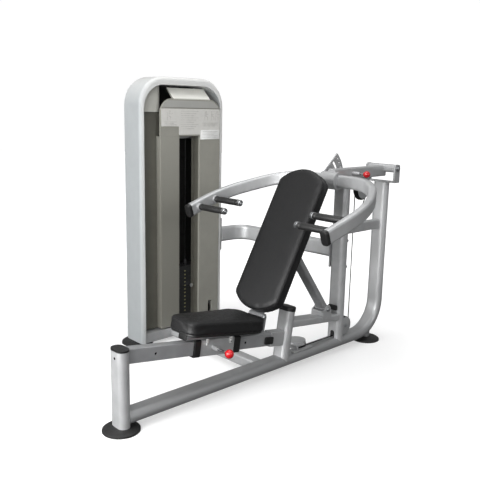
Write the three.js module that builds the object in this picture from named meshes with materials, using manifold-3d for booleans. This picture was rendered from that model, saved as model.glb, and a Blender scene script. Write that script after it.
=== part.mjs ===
// Seated multi press: bench, lever frame and weight tower, as separate parts.
// Millimetres. +X runs from the front foot to the rear upright, +Y points to the tower, +Z is up.
// Inside the machine group the front post stands at X = 0, Y = 0; the group is then shifted
// so that the origin is the middle of the footprint, on the floor.
import * as THREE from 'three';
import { mergeVertices } from 'three/addons/utils/BufferGeometryUtils.js';
import Module from 'manifold-3d';

const wasm = await Module();
wasm.setup();

// ---------------------------------------------------------------- driving dimensions
const GAP = 0.3;                       // clearance between parts that touch
const OVAL = { wide: 100, thick: 60 }; // section of the frame tubes
const FOOT = { radius: 88, towerRadius: 98, height: 22 };
const BEAM = { top: 92, mid: 62, start: 20 };
const POST = { top: 385 };
const REAR = { x: 1928, top: 1018, bend: 200 };
const REAR_FOOT_X = 1850;
const MID = { x: 1535, top: 1036 };
const LEAN = { x: 1048, length: 310 };
const RAIL = { z: 357.5, tilt: Math.atan(0.15), height: 72, width: 50, end: 940 };
const HIGH = { z: 754, height: 60, width: 44 };
const MID_TUBE = { z0: 275, z1: 222, height: 42, width: 84 };
const LEVER = { pivotZ: 1105, beamZ: 1087, beamHeight: 66, beamWidth: 50 };
const HUB = { x: 1427, z: 1055, sleeve: 51, half: 57, tube: 36 };
const ARM = { wide: 42, tall: 72, corner: 14 };
const GRIP = { radius: 17, inner: 262 };
const CABLE = 3;                       // cable radius
const CABLE_Z = 100;                   // height of the cable above the main beam
const CABLE_TAIL = 36;                 // straight cable below the lever pulley that moves with the lever
const LEVER_PULLEY = { x: 1719, z: 985, r: 62 };
const LOW_PULLEY = { x: 1607, r: 50 };
const FLAT_PULLEY = { x: 1238, y: 50, r: 50 };
const TOWER_PULLEY = { x: 1188, y: 839, r: 45 };
const TOP_PULLEY = { x: 1125, y: 884, z: 1345, r: 63 };
const TOWER = { x0: 652, x1: 1286, y0: 778, y1: 955, bottom: 24, top: 1622, crownWall: 46, corner: 168, wall: 27 };
const STACK = { x: 1062, y: 884, wide: 200, deep: 84, plate: 24, bottom: 92, rest: 9, lifted: 5 };
const GUIDE = { offset: 70, radius: 8, low: 1260, top: 1418 };
const SEAT_PIN_X = 520;
const SEAT_THICK = 62;                // the hole that the seat pin stands in
const HOLES = [177, 520, 634, 749];
const PAD = { x: 829, z: 475, tilt: 29 * Math.PI / 180, half: 160, low: -66, high: 756, thick: 64,
  crown: 212, heel: 222 };
const PAD_PIVOT = { s: -80, t: 76 };
const STRUT_TOP = { s: 336, t: 112 };
const STRUT_FOOT = { x: 1400, z: 300 };
const STRUT = { wide: 70, deep: 32, cheek: 38 };
const SECTOR = { y0: 62, y1: 70, hole: 172, outer: 190, first: 11.4, step: 10.2, count: 4 };
const LOWER_BRACE_X = 905;

// ---------------------------------------------------------------- finishes
const finish = (colour, roughness, metalness) =>
  new THREE.MeshStandardMaterial({ color: colour, roughness, metalness });
const SILVER = finish('#a3a4a4', 0.42, 0.55);
const DARK_SILVER = finish('#6e6f70', 0.45, 0.5);
const WHITE = finish('#dfe1e3', 0.4, 0.0);
const PANEL = finish('#85847d', 0.5, 0.1);
const RECESS = finish('#54554e', 0.6, 0.1);
const PLACARD = finish('#c4c3c0', 0.5, 0.0);
const RUBBER = finish('#262626', 0.85, 0.0);
const PLASTIC = finish('#1b1b1b', 0.5, 0.0);
const VINYL = finish('#2a2a2b', 0.55, 0.0);
const CHROME = finish('#d8dadc', 0.15, 1.0);
const IRON = finish('#1f2020', 0.6, 0.4);

// ---------------------------------------------------------------- shape helpers
const V = (x, y, z) => new THREE.Vector3(x, y, z);
const machine = new THREE.Group();

function add(name, geometry, material) {
  const mesh = new THREE.Mesh(geometry, material);
  mesh.name = name;
  machine.add(mesh);
  return mesh;
}

function solid(geometry) {
  const bare = geometry.clone();
  bare.deleteAttribute('normal');
  bare.deleteAttribute('uv');
  const merged = mergeVertices(bare, 1e-4);
  const triVerts = new Uint32Array(merged.index.array);
  const vertProperties = new Float32Array(merged.attributes.position.array);
  return new wasm.Manifold(new wasm.Mesh({ numProp: 3, vertProperties, triVerts }));
}

function geometryOf(manifold) {
  const mesh = manifold.getMesh();
  const geometry = new THREE.BufferGeometry();
  geometry.setAttribute('position', new THREE.BufferAttribute(new Float32Array(mesh.vertProperties), 3));
  geometry.setIndex(new THREE.BufferAttribute(new Uint32Array(mesh.triVerts), 1));
  geometry.computeVertexNormals();
  return geometry;
}

const cut = (body, ...tools) =>
  geometryOf(tools.reduce((left, tool) => left.subtract(solid(tool)), solid(body)));
const join = (body, ...others) =>
  geometryOf(others.reduce((left, other) => left.add(solid(other)), solid(body)));
const common = (body, other) => geometryOf(solid(body).intersect(solid(other)));

function roundRect(width, height, radius, arcSteps = 4) {
  const outline = [];
  const corners = [[1, 1, 0], [-1, 1, 90], [-1, -1, 180], [1, -1, 270]];
  for (const [sx, sy, start] of corners) {
    for (let i = 0; i <= arcSteps; i++) {
      const angle = (start + 90 * i / arcSteps) * Math.PI / 180;
      const x = sx * (width / 2 - radius) + radius * Math.cos(angle);
      const y = sy * (height / 2 - radius) + radius * Math.sin(angle);
      const last = outline[outline.length - 1];
      if (!last || last.distanceTo(new THREE.Vector2(x, y)) > 0.01) outline.push(new THREE.Vector2(x, y));
    }
  }
  if (outline[0].distanceTo(outline[outline.length - 1]) < 0.01) outline.pop();
  return new THREE.Shape(outline);
}

const flatOval = (grow = 0) =>
  roundRect(OVAL.wide + 2 * grow, OVAL.thick + 2 * grow, OVAL.thick / 2 + grow, 6);

function circle(radius, steps = 24) {
  const outline = [];
  for (let i = 0; i < steps; i++) {
    const angle = 2 * Math.PI * i / steps;
    outline.push(new THREE.Vector2(radius * Math.cos(angle), radius * Math.sin(angle)));
  }
  return new THREE.Shape(outline);
}

const polygon = points => new THREE.Shape(points.map(([x, y]) => new THREE.Vector2(x, y)));
const hole = (shape, x, y) => new THREE.Path(shape.getPoints(1).map(p => new THREE.Vector2(p.x + x, p.y + y)));

// A path that stops exactly at the given stations and keeps one side of the section level.
class StationPath extends THREE.Curve {
  constructor(stations, side) {
    super();
    this.stations = stations;
    this.side = side;
  }

  getPointAt(u) {
    return this.stations[Math.round(u * (this.stations.length - 1))].clone();
  }

  computeFrenetFrames() {
    const tangents = [];
    const normals = [];
    const binormals = [];
    const last = this.stations.length - 1;
    for (let i = 0; i <= last; i++) {
      const before = this.stations[Math.max(i - 1, 0)];
      const after = this.stations[Math.min(i + 1, last)];
      const tangent = after.clone().sub(before).normalize();
      const reference = typeof this.side === 'function' ? this.side(tangent, i / last) : this.side;
      const normal = reference.clone().addScaledVector(tangent, -reference.dot(tangent)).normalize();
      tangents.push(tangent);
      normals.push(normal);
      binormals.push(tangent.clone().cross(normal));
    }
    return { tangents, normals, binormals };
  }
}

const sweep = (shape, stations, side) => new THREE.ExtrudeGeometry(shape, {
  steps: stations.length - 1,
  extrudePath: new StationPath(stations, side),
  curveSegments: 1,
});

// Corner points joined by straight runs, with each inner corner rounded to a radius.
function roundedRoute(corners, radii, arcSteps = 6) {
  const route = [corners[0].clone()];
  for (let i = 1; i < corners.length - 1; i++) {
    const into = corners[i].clone().sub(corners[i - 1]).normalize();
    const out = corners[i + 1].clone().sub(corners[i]).normalize();
    const turn = into.angleTo(out);
    const radius = radii[i - 1];
    const inward = out.clone().sub(into).normalize();
    const centre = corners[i].clone().addScaledVector(inward, radius / Math.cos(turn / 2));
    const axis = into.clone().cross(out).normalize();
    const start = corners[i].clone().addScaledVector(into, -radius * Math.tan(turn / 2)).sub(centre);
    for (let k = 0; k <= arcSteps; k++) {
      route.push(start.clone().applyAxisAngle(axis, turn * k / arcSteps).add(centre));
    }
  }
  route.push(corners[corners.length - 1].clone());
  return route;
}

const plain = (shape, depth) =>
  new THREE.ExtrudeGeometry(shape, { depth, bevelEnabled: false, curveSegments: 1, steps: 1 });
const alongX = (shape, x0, x1) => plain(shape, x1 - x0)
  .applyMatrix4(new THREE.Matrix4().makeBasis(V(0, 1, 0), V(0, 0, 1), V(1, 0, 0))).translate(x0, 0, 0);
const alongY = (shape, y0, y1) => plain(shape, y1 - y0).rotateX(Math.PI / 2).translate(0, y1, 0);
const alongZ = (shape, z0, z1) => plain(shape, z1 - z0).translate(0, 0, z0);
const box = (x0, x1, y0, y1, z0, z1) =>
  new THREE.BoxGeometry(x1 - x0, y1 - y0, z1 - z0).translate((x0 + x1) / 2, (y0 + y1) / 2, (z0 + z1) / 2);
const rodX = (y, z, radius, x0, x1, steps) => alongX(circle(radius, steps), x0, x1).translate(0, y, z);
const rodY = (x, z, radius, y0, y1, steps) => alongY(circle(radius, steps), y0, y1).translate(x, 0, z);
const rodZ = (x, y, radius, z0, z1, steps) => alongZ(circle(radius, steps), z0, z1).translate(x, y, 0);
const tiltY = (geometry, angle, x, z) => geometry.rotateY(angle).translate(x, 0, z);

// Lathe outline given as [radius, height] pairs, turned about the Z axis.
const turned = (outline, steps = 24) =>
  new THREE.LatheGeometry(outline.map(([r, h]) => new THREE.Vector2(r, h)), steps).rotateX(Math.PI / 2);

// ---------------------------------------------------------------- feet and main frame
function feet() {
  const { height } = FOOT;
  const places = {
    foot_front: [0, 0, FOOT.radius],
    foot_rear: [REAR_FOOT_X, 0, FOOT.radius],
    foot_tower_left: [TOWER.x0 + 44, 896, FOOT.towerRadius],
    foot_tower_right: [TOWER.x1 - 44, 896, FOOT.towerRadius],
  };
  for (const [name, [x, y, radius]] of Object.entries(places)) {
    const outline = [[0, 0], [radius, 0], [radius, 8], [radius - 8, 14], [56, height], [0, height]];
    add(name, turned(outline, 32).translate(x, y, 0), RUBBER);
  }
}

const postTube = grow => alongZ(roundRect(OVAL.thick + 2 * grow, OVAL.wide + 2 * grow,
  OVAL.thick / 2 + grow, 6), FOOT.height + GAP, POST.top);

function beamTube(grow) {
  const corner = V(REAR.x, 0, BEAM.mid);
  const route = roundedRoute([V(BEAM.start, 0, BEAM.mid), corner, V(REAR.x, 0, REAR.top)], [REAR.bend], 10);
  return sweep(flatOval(grow), route, V(0, 1, 0));
}

function mainFrame() {
  add('front_post', postTube(0), SILVER);
  const cap = alongZ(roundRect(OVAL.thick + 1, OVAL.wide + 1, OVAL.thick / 2, 6), POST.top + GAP, POST.top + 9);
  add('front_post_cap', cut(cap, railBar(GAP)), PLASTIC);
  const stub = rodZ(REAR_FOOT_X, 0, 26, FOOT.height + GAP, 90, 24);
  add('main_beam', cut(join(beamTube(0), stub), postTube(GAP)), SILVER);
}

function uprights() {
  const upright = alongZ(roundRect(OVAL.thick, OVAL.wide, OVAL.thick / 2, 6), BEAM.mid, MID.top)
    .translate(MID.x, 0, 0);
  const slot = alongX(roundRect(28, 64, 13, 4), MID.x - 40, MID.x + 40).translate(0, 0, CABLE_Z + 4);
  const pocket = box(MID.x, MID.x + 40, -9, 9, BEAM.top, CABLE_Z + 2 * LOW_PULLEY.r + 12);
  add('mid_upright', cut(upright, beamTube(GAP), slot, pocket), SILVER);
  const pad = alongZ(roundRect(52, 70, 20, 4), MID.top + GAP, LEVER.beamZ - LEVER.beamHeight / 2 - GAP);
  add('lever_rest_bumper', pad.translate(MID.x, 0, 0), RUBBER);

  const end = alongOf(RAIL.end);
  const tongue = onRail(alongX(roundRect(60, 84, 8, 3), end + GAP, end + 130));
  add('leaning_post', cut(join(leanTube(0), tongue), beamTube(GAP)), SILVER);
}

const leanAxis = z => LEAN.x + (z - BEAM.mid) * Math.tan(RAIL.tilt);
const leanTube = grow => tiltY(alongZ(roundRect(OVAL.thick + 2 * grow, OVAL.wide + 2 * grow,
  OVAL.thick / 2 + grow, 6), 0, LEAN.length), RAIL.tilt, LEAN.x, BEAM.mid);
const midTube = grow => alongZ(roundRect(OVAL.thick + 2 * grow, OVAL.wide + 2 * grow,
  OVAL.thick / 2 + grow, 6), BEAM.mid, MID.top).translate(MID.x, 0, 0);

function crossTubes() {
  const low = sweep(roundRect(MID_TUBE.width, MID_TUBE.height, 10, 3),
    [V(leanAxis(MID_TUBE.z0), 0, MID_TUBE.z0), V(MID.x, 0, MID_TUBE.z1)], V(0, 1, 0));
  add('mid_tube', cut(join(low, ...strutCheeks()), leanTube(GAP), midTube(GAP)), SILVER);
  const high = alongX(roundRect(HIGH.width, HIGH.height, 10, 3), MID.x, REAR.x).translate(0, 0, HIGH.z);
  const passage = rodZ(LEVER_PULLEY.x - LEVER_PULLEY.r, 0, 8, HIGH.z - 60, HIGH.z + 60, 20);
  add('high_cross_tube', cut(high, midTube(GAP), beamTube(GAP), passage), SILVER);
}

// ---------------------------------------------------------------- seat rail, in its own tilted axes
const railPoint = (along, up = 0) => {
  const c = Math.cos(RAIL.tilt);
  const s = Math.sin(RAIL.tilt);
  return [along * c + up * s, RAIL.z - along * s + up * c];
};
const onRail = geometry => tiltY(geometry, RAIL.tilt, 0, RAIL.z);
const alongOf = x => (x / Math.cos(RAIL.tilt));

const railBar = grow => onRail(alongX(roundRect(RAIL.width + 2 * grow, RAIL.height + 2 * grow, 6, 3),
  8 - grow, alongOf(RAIL.end)));

function rail() {
  const holes = HOLES.map(x => rodY(alongOf(x), 0, 6.6, -RAIL.width / 2 - 1, RAIL.width / 2 + 1, 16));
  add('seat_rail', cut(railBar(0), postTube(GAP), ...holes.map(onRail)), SILVER);
}

// ---------------------------------------------------------------- seat carriage
function carriage() {
  const from = alongOf(SEAT_PIN_X) - 86;
  const to = alongOf(SEAT_PIN_X) + 140;
  const outer = roundRect(66, 88, 8, 3);
  outer.holes.push(hole(roundRect(RAIL.width + 4, RAIL.height + 4, 6, 3), 0, 0));
  const sleeve = alongX(outer, from, to);
  const pinX = alongOf(SEAT_PIN_X);
  const housing = rodY(pinX, 0, 12, -74, -31, 20);
  const bore = rodY(pinX, 0, 6.6, -90, 0, 16);
  add('carriage_sleeve', onRail(cut(join(sleeve, housing), bore)), SILVER);
  for (const [name, x0, x1] of [['front', from - 36, from - GAP], ['rear', to + GAP, to + 40]]) {
    const ring = roundRect(76, 88, 8, 3);
    ring.holes.push(hole(roundRect(RAIL.width + 2, RAIL.height + 2, 6, 3), 0, 0));
    add(`carriage_bushing_${name}`, onRail(alongX(ring, x0, x1)), PLASTIC);
  }
  const seatBase = 44 + GAP;
  const tube = alongX(roundRect(60, 34, 6, 3), from - 90, to - 4).translate(0, 0, seatBase + 17);
  const pivot = padPivotOnRail();
  const rear = box(to - 5, pivot[0] + 17, -30, 30, seatBase + 8, seatBase + 34);
  const crossbar = box(pivot[0] - 38, pivot[0] + 17, -50, 50, seatBase + 10, seatBase + 34);
  const lugs = [-1, 1].map(side => {
    const [x, z] = pivot;
    const outline = polygon([[x - 36, seatBase + 12], [x + 16, seatBase + 12], [x + 20, z], [x + 14, z + 15],
      [x, z + 20], [x - 14, z + 15], [x - 20, z], [x - 28, seatBase + 33], [x - 36, seatBase + 33]]);
    return alongY(outline, side < 0 ? -50 : 40, side < 0 ? -40 : 50);
  });
  const board = alongZ(seatOutline(-14), seatBase + 33, seatBase + 44);
  const bolt = rodY(pivot[0], pivot[1], 8, -56, 56, 16);
  add('seat_support', onRail(join(tube, rear, crossbar, board, ...lugs, bolt)), DARK_SILVER);
  const cushion = cushionBlock(seatOutline(0), SEAT_THICK, 9).translate(0, 0, seatBase + 44 + GAP);
  add('seat_cushion', onRail(cushion), VINYL);
  add('seat_pull_pin', onRail(pullPin(pinX, 0, -RAIL.width / 2 - 1, -152, 22)), CHROME);
}

function padPivotOnRail() {
  const [x, z] = padPoint(PAD_PIVOT.s, PAD_PIVOT.t);
  const c = Math.cos(RAIL.tilt);
  const s = Math.sin(RAIL.tilt);
  return [x * c - (z - RAIL.z) * s, x * s + (z - RAIL.z) * c];
}

// Tapered seat with rounded corners: narrow at the front, wide at the back.
function seatOutline(grow) {
  const front = alongOf(316) - grow;
  const back = alongOf(796) + grow;
  const corners = [[front, -97 - grow, 46], [back, -140 - grow, 66], [back, 140 + grow, 66], [front, 97 + grow, 46]];
  return roundedPolygon(corners);
}

function roundedPolygon(corners, arcSteps = 6) {
  const outline = [];
  const count = corners.length;
  for (let i = 0; i < count; i++) {
    const [x, y, radius] = corners[i];
    const here = new THREE.Vector2(x, y);
    const toPrev = new THREE.Vector2(...corners[(i + count - 1) % count].slice(0, 2)).sub(here).normalize();
    const toNext = new THREE.Vector2(...corners[(i + 1) % count].slice(0, 2)).sub(here).normalize();
    const half = Math.acos(toPrev.dot(toNext)) / 2;
    const centre = here.clone().add(toPrev.clone().add(toNext).normalize().multiplyScalar(radius / Math.sin(half)));
    const first = here.clone().addScaledVector(toPrev, radius / Math.tan(half)).sub(centre);
    const lastPoint = here.clone().addScaledVector(toNext, radius / Math.tan(half)).sub(centre);
    const turn = Math.atan2(first.x * lastPoint.y - first.y * lastPoint.x, first.dot(lastPoint));
    for (let k = 0; k <= arcSteps; k++) {
      const spoke = first.clone().rotateAround(new THREE.Vector2(), turn * k / arcSteps);
      outline.push(spoke.add(centre));
    }
  }
  return new THREE.Shape(outline);
}

// A flat cushion block whose upper and lower edges are rounded over.
function cushionBlock(outline, thick, rounding) {
  return new THREE.ExtrudeGeometry(outline, {
    depth: thick - 2 * rounding,
    bevelEnabled: true,
    bevelThickness: rounding,
    bevelSize: rounding,
    bevelOffset: -rounding,
    bevelSegments: 2,
    curveSegments: 1,
  }).translate(0, 0, rounding);
}

// A sprung locking pin along Y: its tip, its shaft and the ball that is pulled.
const pullPin = (x, z, tip, ballY, ballRadius) =>
  join(rodY(x, z, 6, ballY, tip, 16), new THREE.SphereGeometry(ballRadius, 20, 12).translate(x, ballY, z));

// ---------------------------------------------------------------- back pad and strut
const padPoint = (s, t) => {
  const c = Math.cos(PAD.tilt);
  const n = Math.sin(PAD.tilt);
  return [PAD.x + s * n + t * c, PAD.z + s * c - t * n];
};
// Pad axes: local Z runs up the pad, local X runs to the rear, through its thickness.
const onPad = geometry => tiltY(geometry, PAD.tilt, PAD.x, PAD.z);

// Outline of the back pad: straight sides between one wide arc at the bottom and one across the top.
function padOutline(grow) {
  const half = PAD.half + grow;
  const arc = (radius, centre, up) => {
    const reach = Math.asin((half - 4) / radius);
    const points = [];
    for (let i = 0; i <= 12; i++) {
      const a = reach * (1 - i / 6) * up;
      points.push([radius * Math.sin(a), centre + up * radius * Math.cos(a)]);
    }
    const shoulder = centre + up * (radius * Math.cos(reach) - 14);
    return [[up * half, shoulder], ...points, [-up * half, shoulder]];
  };
  return polygon([...arc(PAD.heel + grow, PAD.low + PAD.heel, -1), ...arc(PAD.crown + grow, PAD.high - PAD.crown, 1)]);
}

function backPad() {
  const { thick } = PAD;
  const block = cushionBlock(padOutline(0), thick, 10);
  const stand = new THREE.Matrix4().makeBasis(V(0, 1, 0), V(0, 0, 1), V(1, 0, 0));
  add('back_cushion', onPad(block.applyMatrix4(stand)), VINYL);
  const backing = alongX(padOutline(-18), thick + GAP, thick + 11);
  const spineFront = thick + 10;
  const spine = box(spineFront, spineFront + 22, -25, 25, -84, 600);
  const [px, pz] = [PAD_PIVOT.t, PAD_PIVOT.s];
  const barrel = rodY(px, pz, 18, -39, 39, 20);
  const inner = STRUT.cheek;
  const outer = inner + 6;
  const cheeks = [-1, 1].map(side => {
    const outlineXZ = polygon([[spineFront + 20, STRUT_TOP.s - 64], [STRUT_TOP.t + 18, STRUT_TOP.s - 30],
      [STRUT_TOP.t + 28, STRUT_TOP.s], [STRUT_TOP.t + 24, STRUT_TOP.s + 34],
      [spineFront + 20, STRUT_TOP.s + 96], [spineFront, STRUT_TOP.s + 96], [spineFront, STRUT_TOP.s - 64]]);
    return alongY(outlineXZ, side < 0 ? -outer : inner, side < 0 ? -inner : outer);
  });
  const web = box(spineFront, spineFront + 8, -outer, outer, STRUT_TOP.s - 64, STRUT_TOP.s + 96);
  const stubs = [-1, 1].map(side => rodY(STRUT_TOP.t, STRUT_TOP.s, 9,
    side < 0 ? -outer - 6 : inner - 1, side < 0 ? 1 - inner : outer + 6, 16));
  const room = box(spineFront + 8, spineFront + 60, 1 - inner, inner - 1, STRUT_TOP.s - 40, STRUT_TOP.s + 84);
  const frame = join(cut(join(spine, web), room), ...cheeks, ...stubs, barrel, backing);
  add('pad_frame', onPad(cut(frame, rodY(px, pz, 8.4, -60, 60, 16))), DARK_SILVER);
}

function strut() {
  const [topX, topZ] = padPoint(STRUT_TOP.s, STRUT_TOP.t);
  const { x, z } = STRUT_FOOT;
  const reach = Math.hypot(topX - x, topZ - z);
  const lean = Math.atan2(topX - x, topZ - z);
  const bar = alongZ(roundRect(STRUT.deep, STRUT.wide, 8, 3), 0, reach);
  const head = rodY(0, reach, 28, -STRUT.wide / 2, STRUT.wide / 2, 24);
  const heel = rodY(0, 0, 24, -STRUT.wide / 2, STRUT.wide / 2, 20);
  const heelBore = rodY(0, 0, 8.4, -STRUT.cheek, STRUT.cheek, 16);
  add('strut', tiltY(cut(join(bar, head, heel), heelBore), lean, x, z), DARK_SILVER);
}

// A bent channel with a pivot bolt that stands on the sloping tube and holds the foot of the strut.
function strutCheeks() {
  const { x, z } = STRUT_FOOT;
  const inner = STRUT.cheek;
  const outer = inner + 6;
  const cheeks = [-1, 1].map(side => {
    const outline = polygon([[x - 46, z - 60], [x + 36, z - 68], [x + 24, z + 6], [x + 12, z + 22],
      [x - 12, z + 22], [x - 24, z + 6], [x - 46, z - 6]]);
    return alongY(outline, side < 0 ? -outer : inner, side < 0 ? -inner : outer);
  });
  const web = box(x - 46, x - 40, -outer, outer, z - 58, z - 6);
  return [web, ...cheeks, rodY(x, z, 8, -outer - 8, outer + 8, 16)];
}

// ---------------------------------------------------------------- lever, yoke and grips
const shoulders = [[1428, 58, 1055], [1424, 120, 1055], [1406, 200, 1055], [1370, 290, 1049], [1310, 366, 1032],
  [1226, 426, 1006], [1150, 464, 985], [1070, 490, 963], [985, 502, 938], [900, 503, 912], [783, 496, 874]];

function armRoute(side) {
  const curve = new THREE.CatmullRomCurve3(shoulders.map(([x, y, z]) => V(x, y * side, z)), false, 'centripetal');
  return curve.getSpacedPoints(26);
}

const armTube = (side, grow) => sweep(roundRect(ARM.wide + 2 * grow, ARM.tall + 2 * grow, ARM.corner + grow, 5),
  armRoute(side), tangent => V(0, 0, 1).cross(tangent));

function lever() {
  const { beamZ, beamHeight, beamWidth, pivotZ } = LEVER;
  const beam = alongX(roundRect(beamWidth, beamHeight, 9, 3), HUB.x, REAR.x).translate(0, 0, beamZ);
  const sleeve = rodY(HUB.x, HUB.z, HUB.sleeve, -HUB.half, HUB.half, 32);
  const bore = rodY(HUB.x, HUB.z, HUB.tube + 1, -80, 80, 32);
  const pivotTube = alongY(roundRect(48, 48, 16, 4), -94, 94).translate(REAR.x, 0, pivotZ);
  const pinAt = pinPlace();
  const pinBore = rodY(pinAt.x, pinAt.z, 6.6, -80, 80, 16);
  const boss = rodY(pinAt.x, pinAt.z, 14, 20, SECTOR.y0 - 2, 20);
  const axleBore = rodY(REAR.x, pivotZ, 10.4, -120, 120, 20);
  const { x, z } = LEVER_PULLEY;
  const underside = beamZ - beamHeight / 2;
  const cheeks = [-1, 1].map(side => {
    const outline = polygon([[x - 60, underside + 4], [x - 22, z - 14], [x, z - 24], [x + 22, z - 14],
      [x + 60, underside + 4]]);
    return alongY(outline, side < 0 ? -15 : 10, side < 0 ? -10 : 15);
  });
  const axle = rodY(x, z, 6, -20, 20, 16);
  const housing = rodY(pinAt.x, pinAt.z, 11, -74, -beamWidth / 2 + 2, 20);
  const body = join(beam, sleeve, pivotTube, boss, housing, ...cheeks, axle);
  add('lever_beam', cut(body, bore, pinBore, axleBore), SILVER);
  add('arm_pull_pin', pullPin(pinAt.x, pinAt.z, SECTOR.y0 - 1, -122, 19), CHROME);

  const plate = box(REAR.x - 26, REAR.x + 26, -109, 109, REAR.top + GAP, REAR.top + 8);
  const sides = [-1, 1].map(side => alongY(
    roundRect(52, pivotZ + 25 - REAR.top - GAP, 14, 4), side < 0 ? -109 : 97, side < 0 ? -97 : 109)
    .translate(REAR.x, 0, (pivotZ + 25 + REAR.top + GAP) / 2));
  const shaft = rodY(REAR.x, pivotZ, 10, -100, 100, 20);
  add('lever_pivot_bracket', join(plate, ...sides, shaft), SILVER);
}

function pinPlace() {
  const angle = SECTOR.first * Math.PI / 180;
  return { x: HUB.x + SECTOR.hole * Math.cos(angle), z: HUB.z + SECTOR.hole * Math.sin(angle) };
}

function yoke() {
  const hub = rodY(HUB.x, HUB.z, HUB.tube, -HUB.half - 0.7, HUB.half + 4.5, 32);
  add('yoke_hub', hub, SILVER);
  for (const [name, side] of [['near', -1], ['far', 1]]) {
    const limit = side < 0 ? HUB.half + 1 : SECTOR.y1 + GAP;
    const trim = box(HUB.x - 80, HUB.x + 80, side < 0 ? -limit : 0, side < 0 ? 0 : limit, HUB.z - 60, HUB.z + 60);
    add(`press_arm_${name}`, cut(armTube(side, 0), trim), SILVER);
    grips(name, side);
  }
  add('sector_plate', sectorPlate(), SILVER);
}

function grips(name, side) {
  for (const [level, x, z] of [['lower', 848, 895], ['upper', 963, 931]]) {
    const inner = side < 0 ? -GRIP.inner : GRIP.inner;
    const rod = side < 0 ? rodY(x, z, GRIP.radius, -500, inner, 24) : rodY(x, z, GRIP.radius, inner, 500, 24);
    add(`grip_${name}_${level}`, cut(rod, armTube(side, GAP)), RUBBER);
  }
}

// Fan plate on the far side of the lever: four locking holes and a curved window.
function sectorPlate() {
  const { y0, y1, outer, first, step, count, hole: ring } = SECTOR;
  const at = (radius, degrees) => {
    const angle = degrees * Math.PI / 180;
    return [HUB.x + radius * Math.cos(angle), HUB.z + radius * Math.sin(angle)];
  };
  const last = first + step * (count - 1);
  const outline = [at(34, 168)];
  for (let i = 0; i <= 10; i++) outline.push(at(outer, last + 8 - (last + 8 + 2 - first + 8) * i / 10));
  for (let i = 0; i <= 6; i++) outline.push(at(34, -20 - 172 * i / 7));
  const plate = polygon(outline);
  for (let i = 0; i < count; i++) plate.holes.push(hole(circle(6.8, 16), ...at(ring, first + step * i)));
  const window = [];
  for (let i = 0; i <= 6; i++) window.push(at(142, 20 + 28 * i / 6));
  for (let i = 0; i <= 6; i++) window.push(at(122, 48 - 28 * i / 6));
  plate.holes.push(new THREE.Path(window.map(([x, z]) => new THREE.Vector2(x, z))));
  return alongY(plate, y0, y1);
}

// ---------------------------------------------------------------- pulleys and cable
function pulley(radius) {
  const [bore, half, rim] = [6.4, 7, radius + 5];
  const floor = radius - 4.2;
  return turned([[bore, -half], [rim, -half], [rim, -5], [floor, -2.6], [floor, 2.6], [rim, 5], [rim, half],
    [bore, half], [bore, -half]], 28);
}

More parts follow.
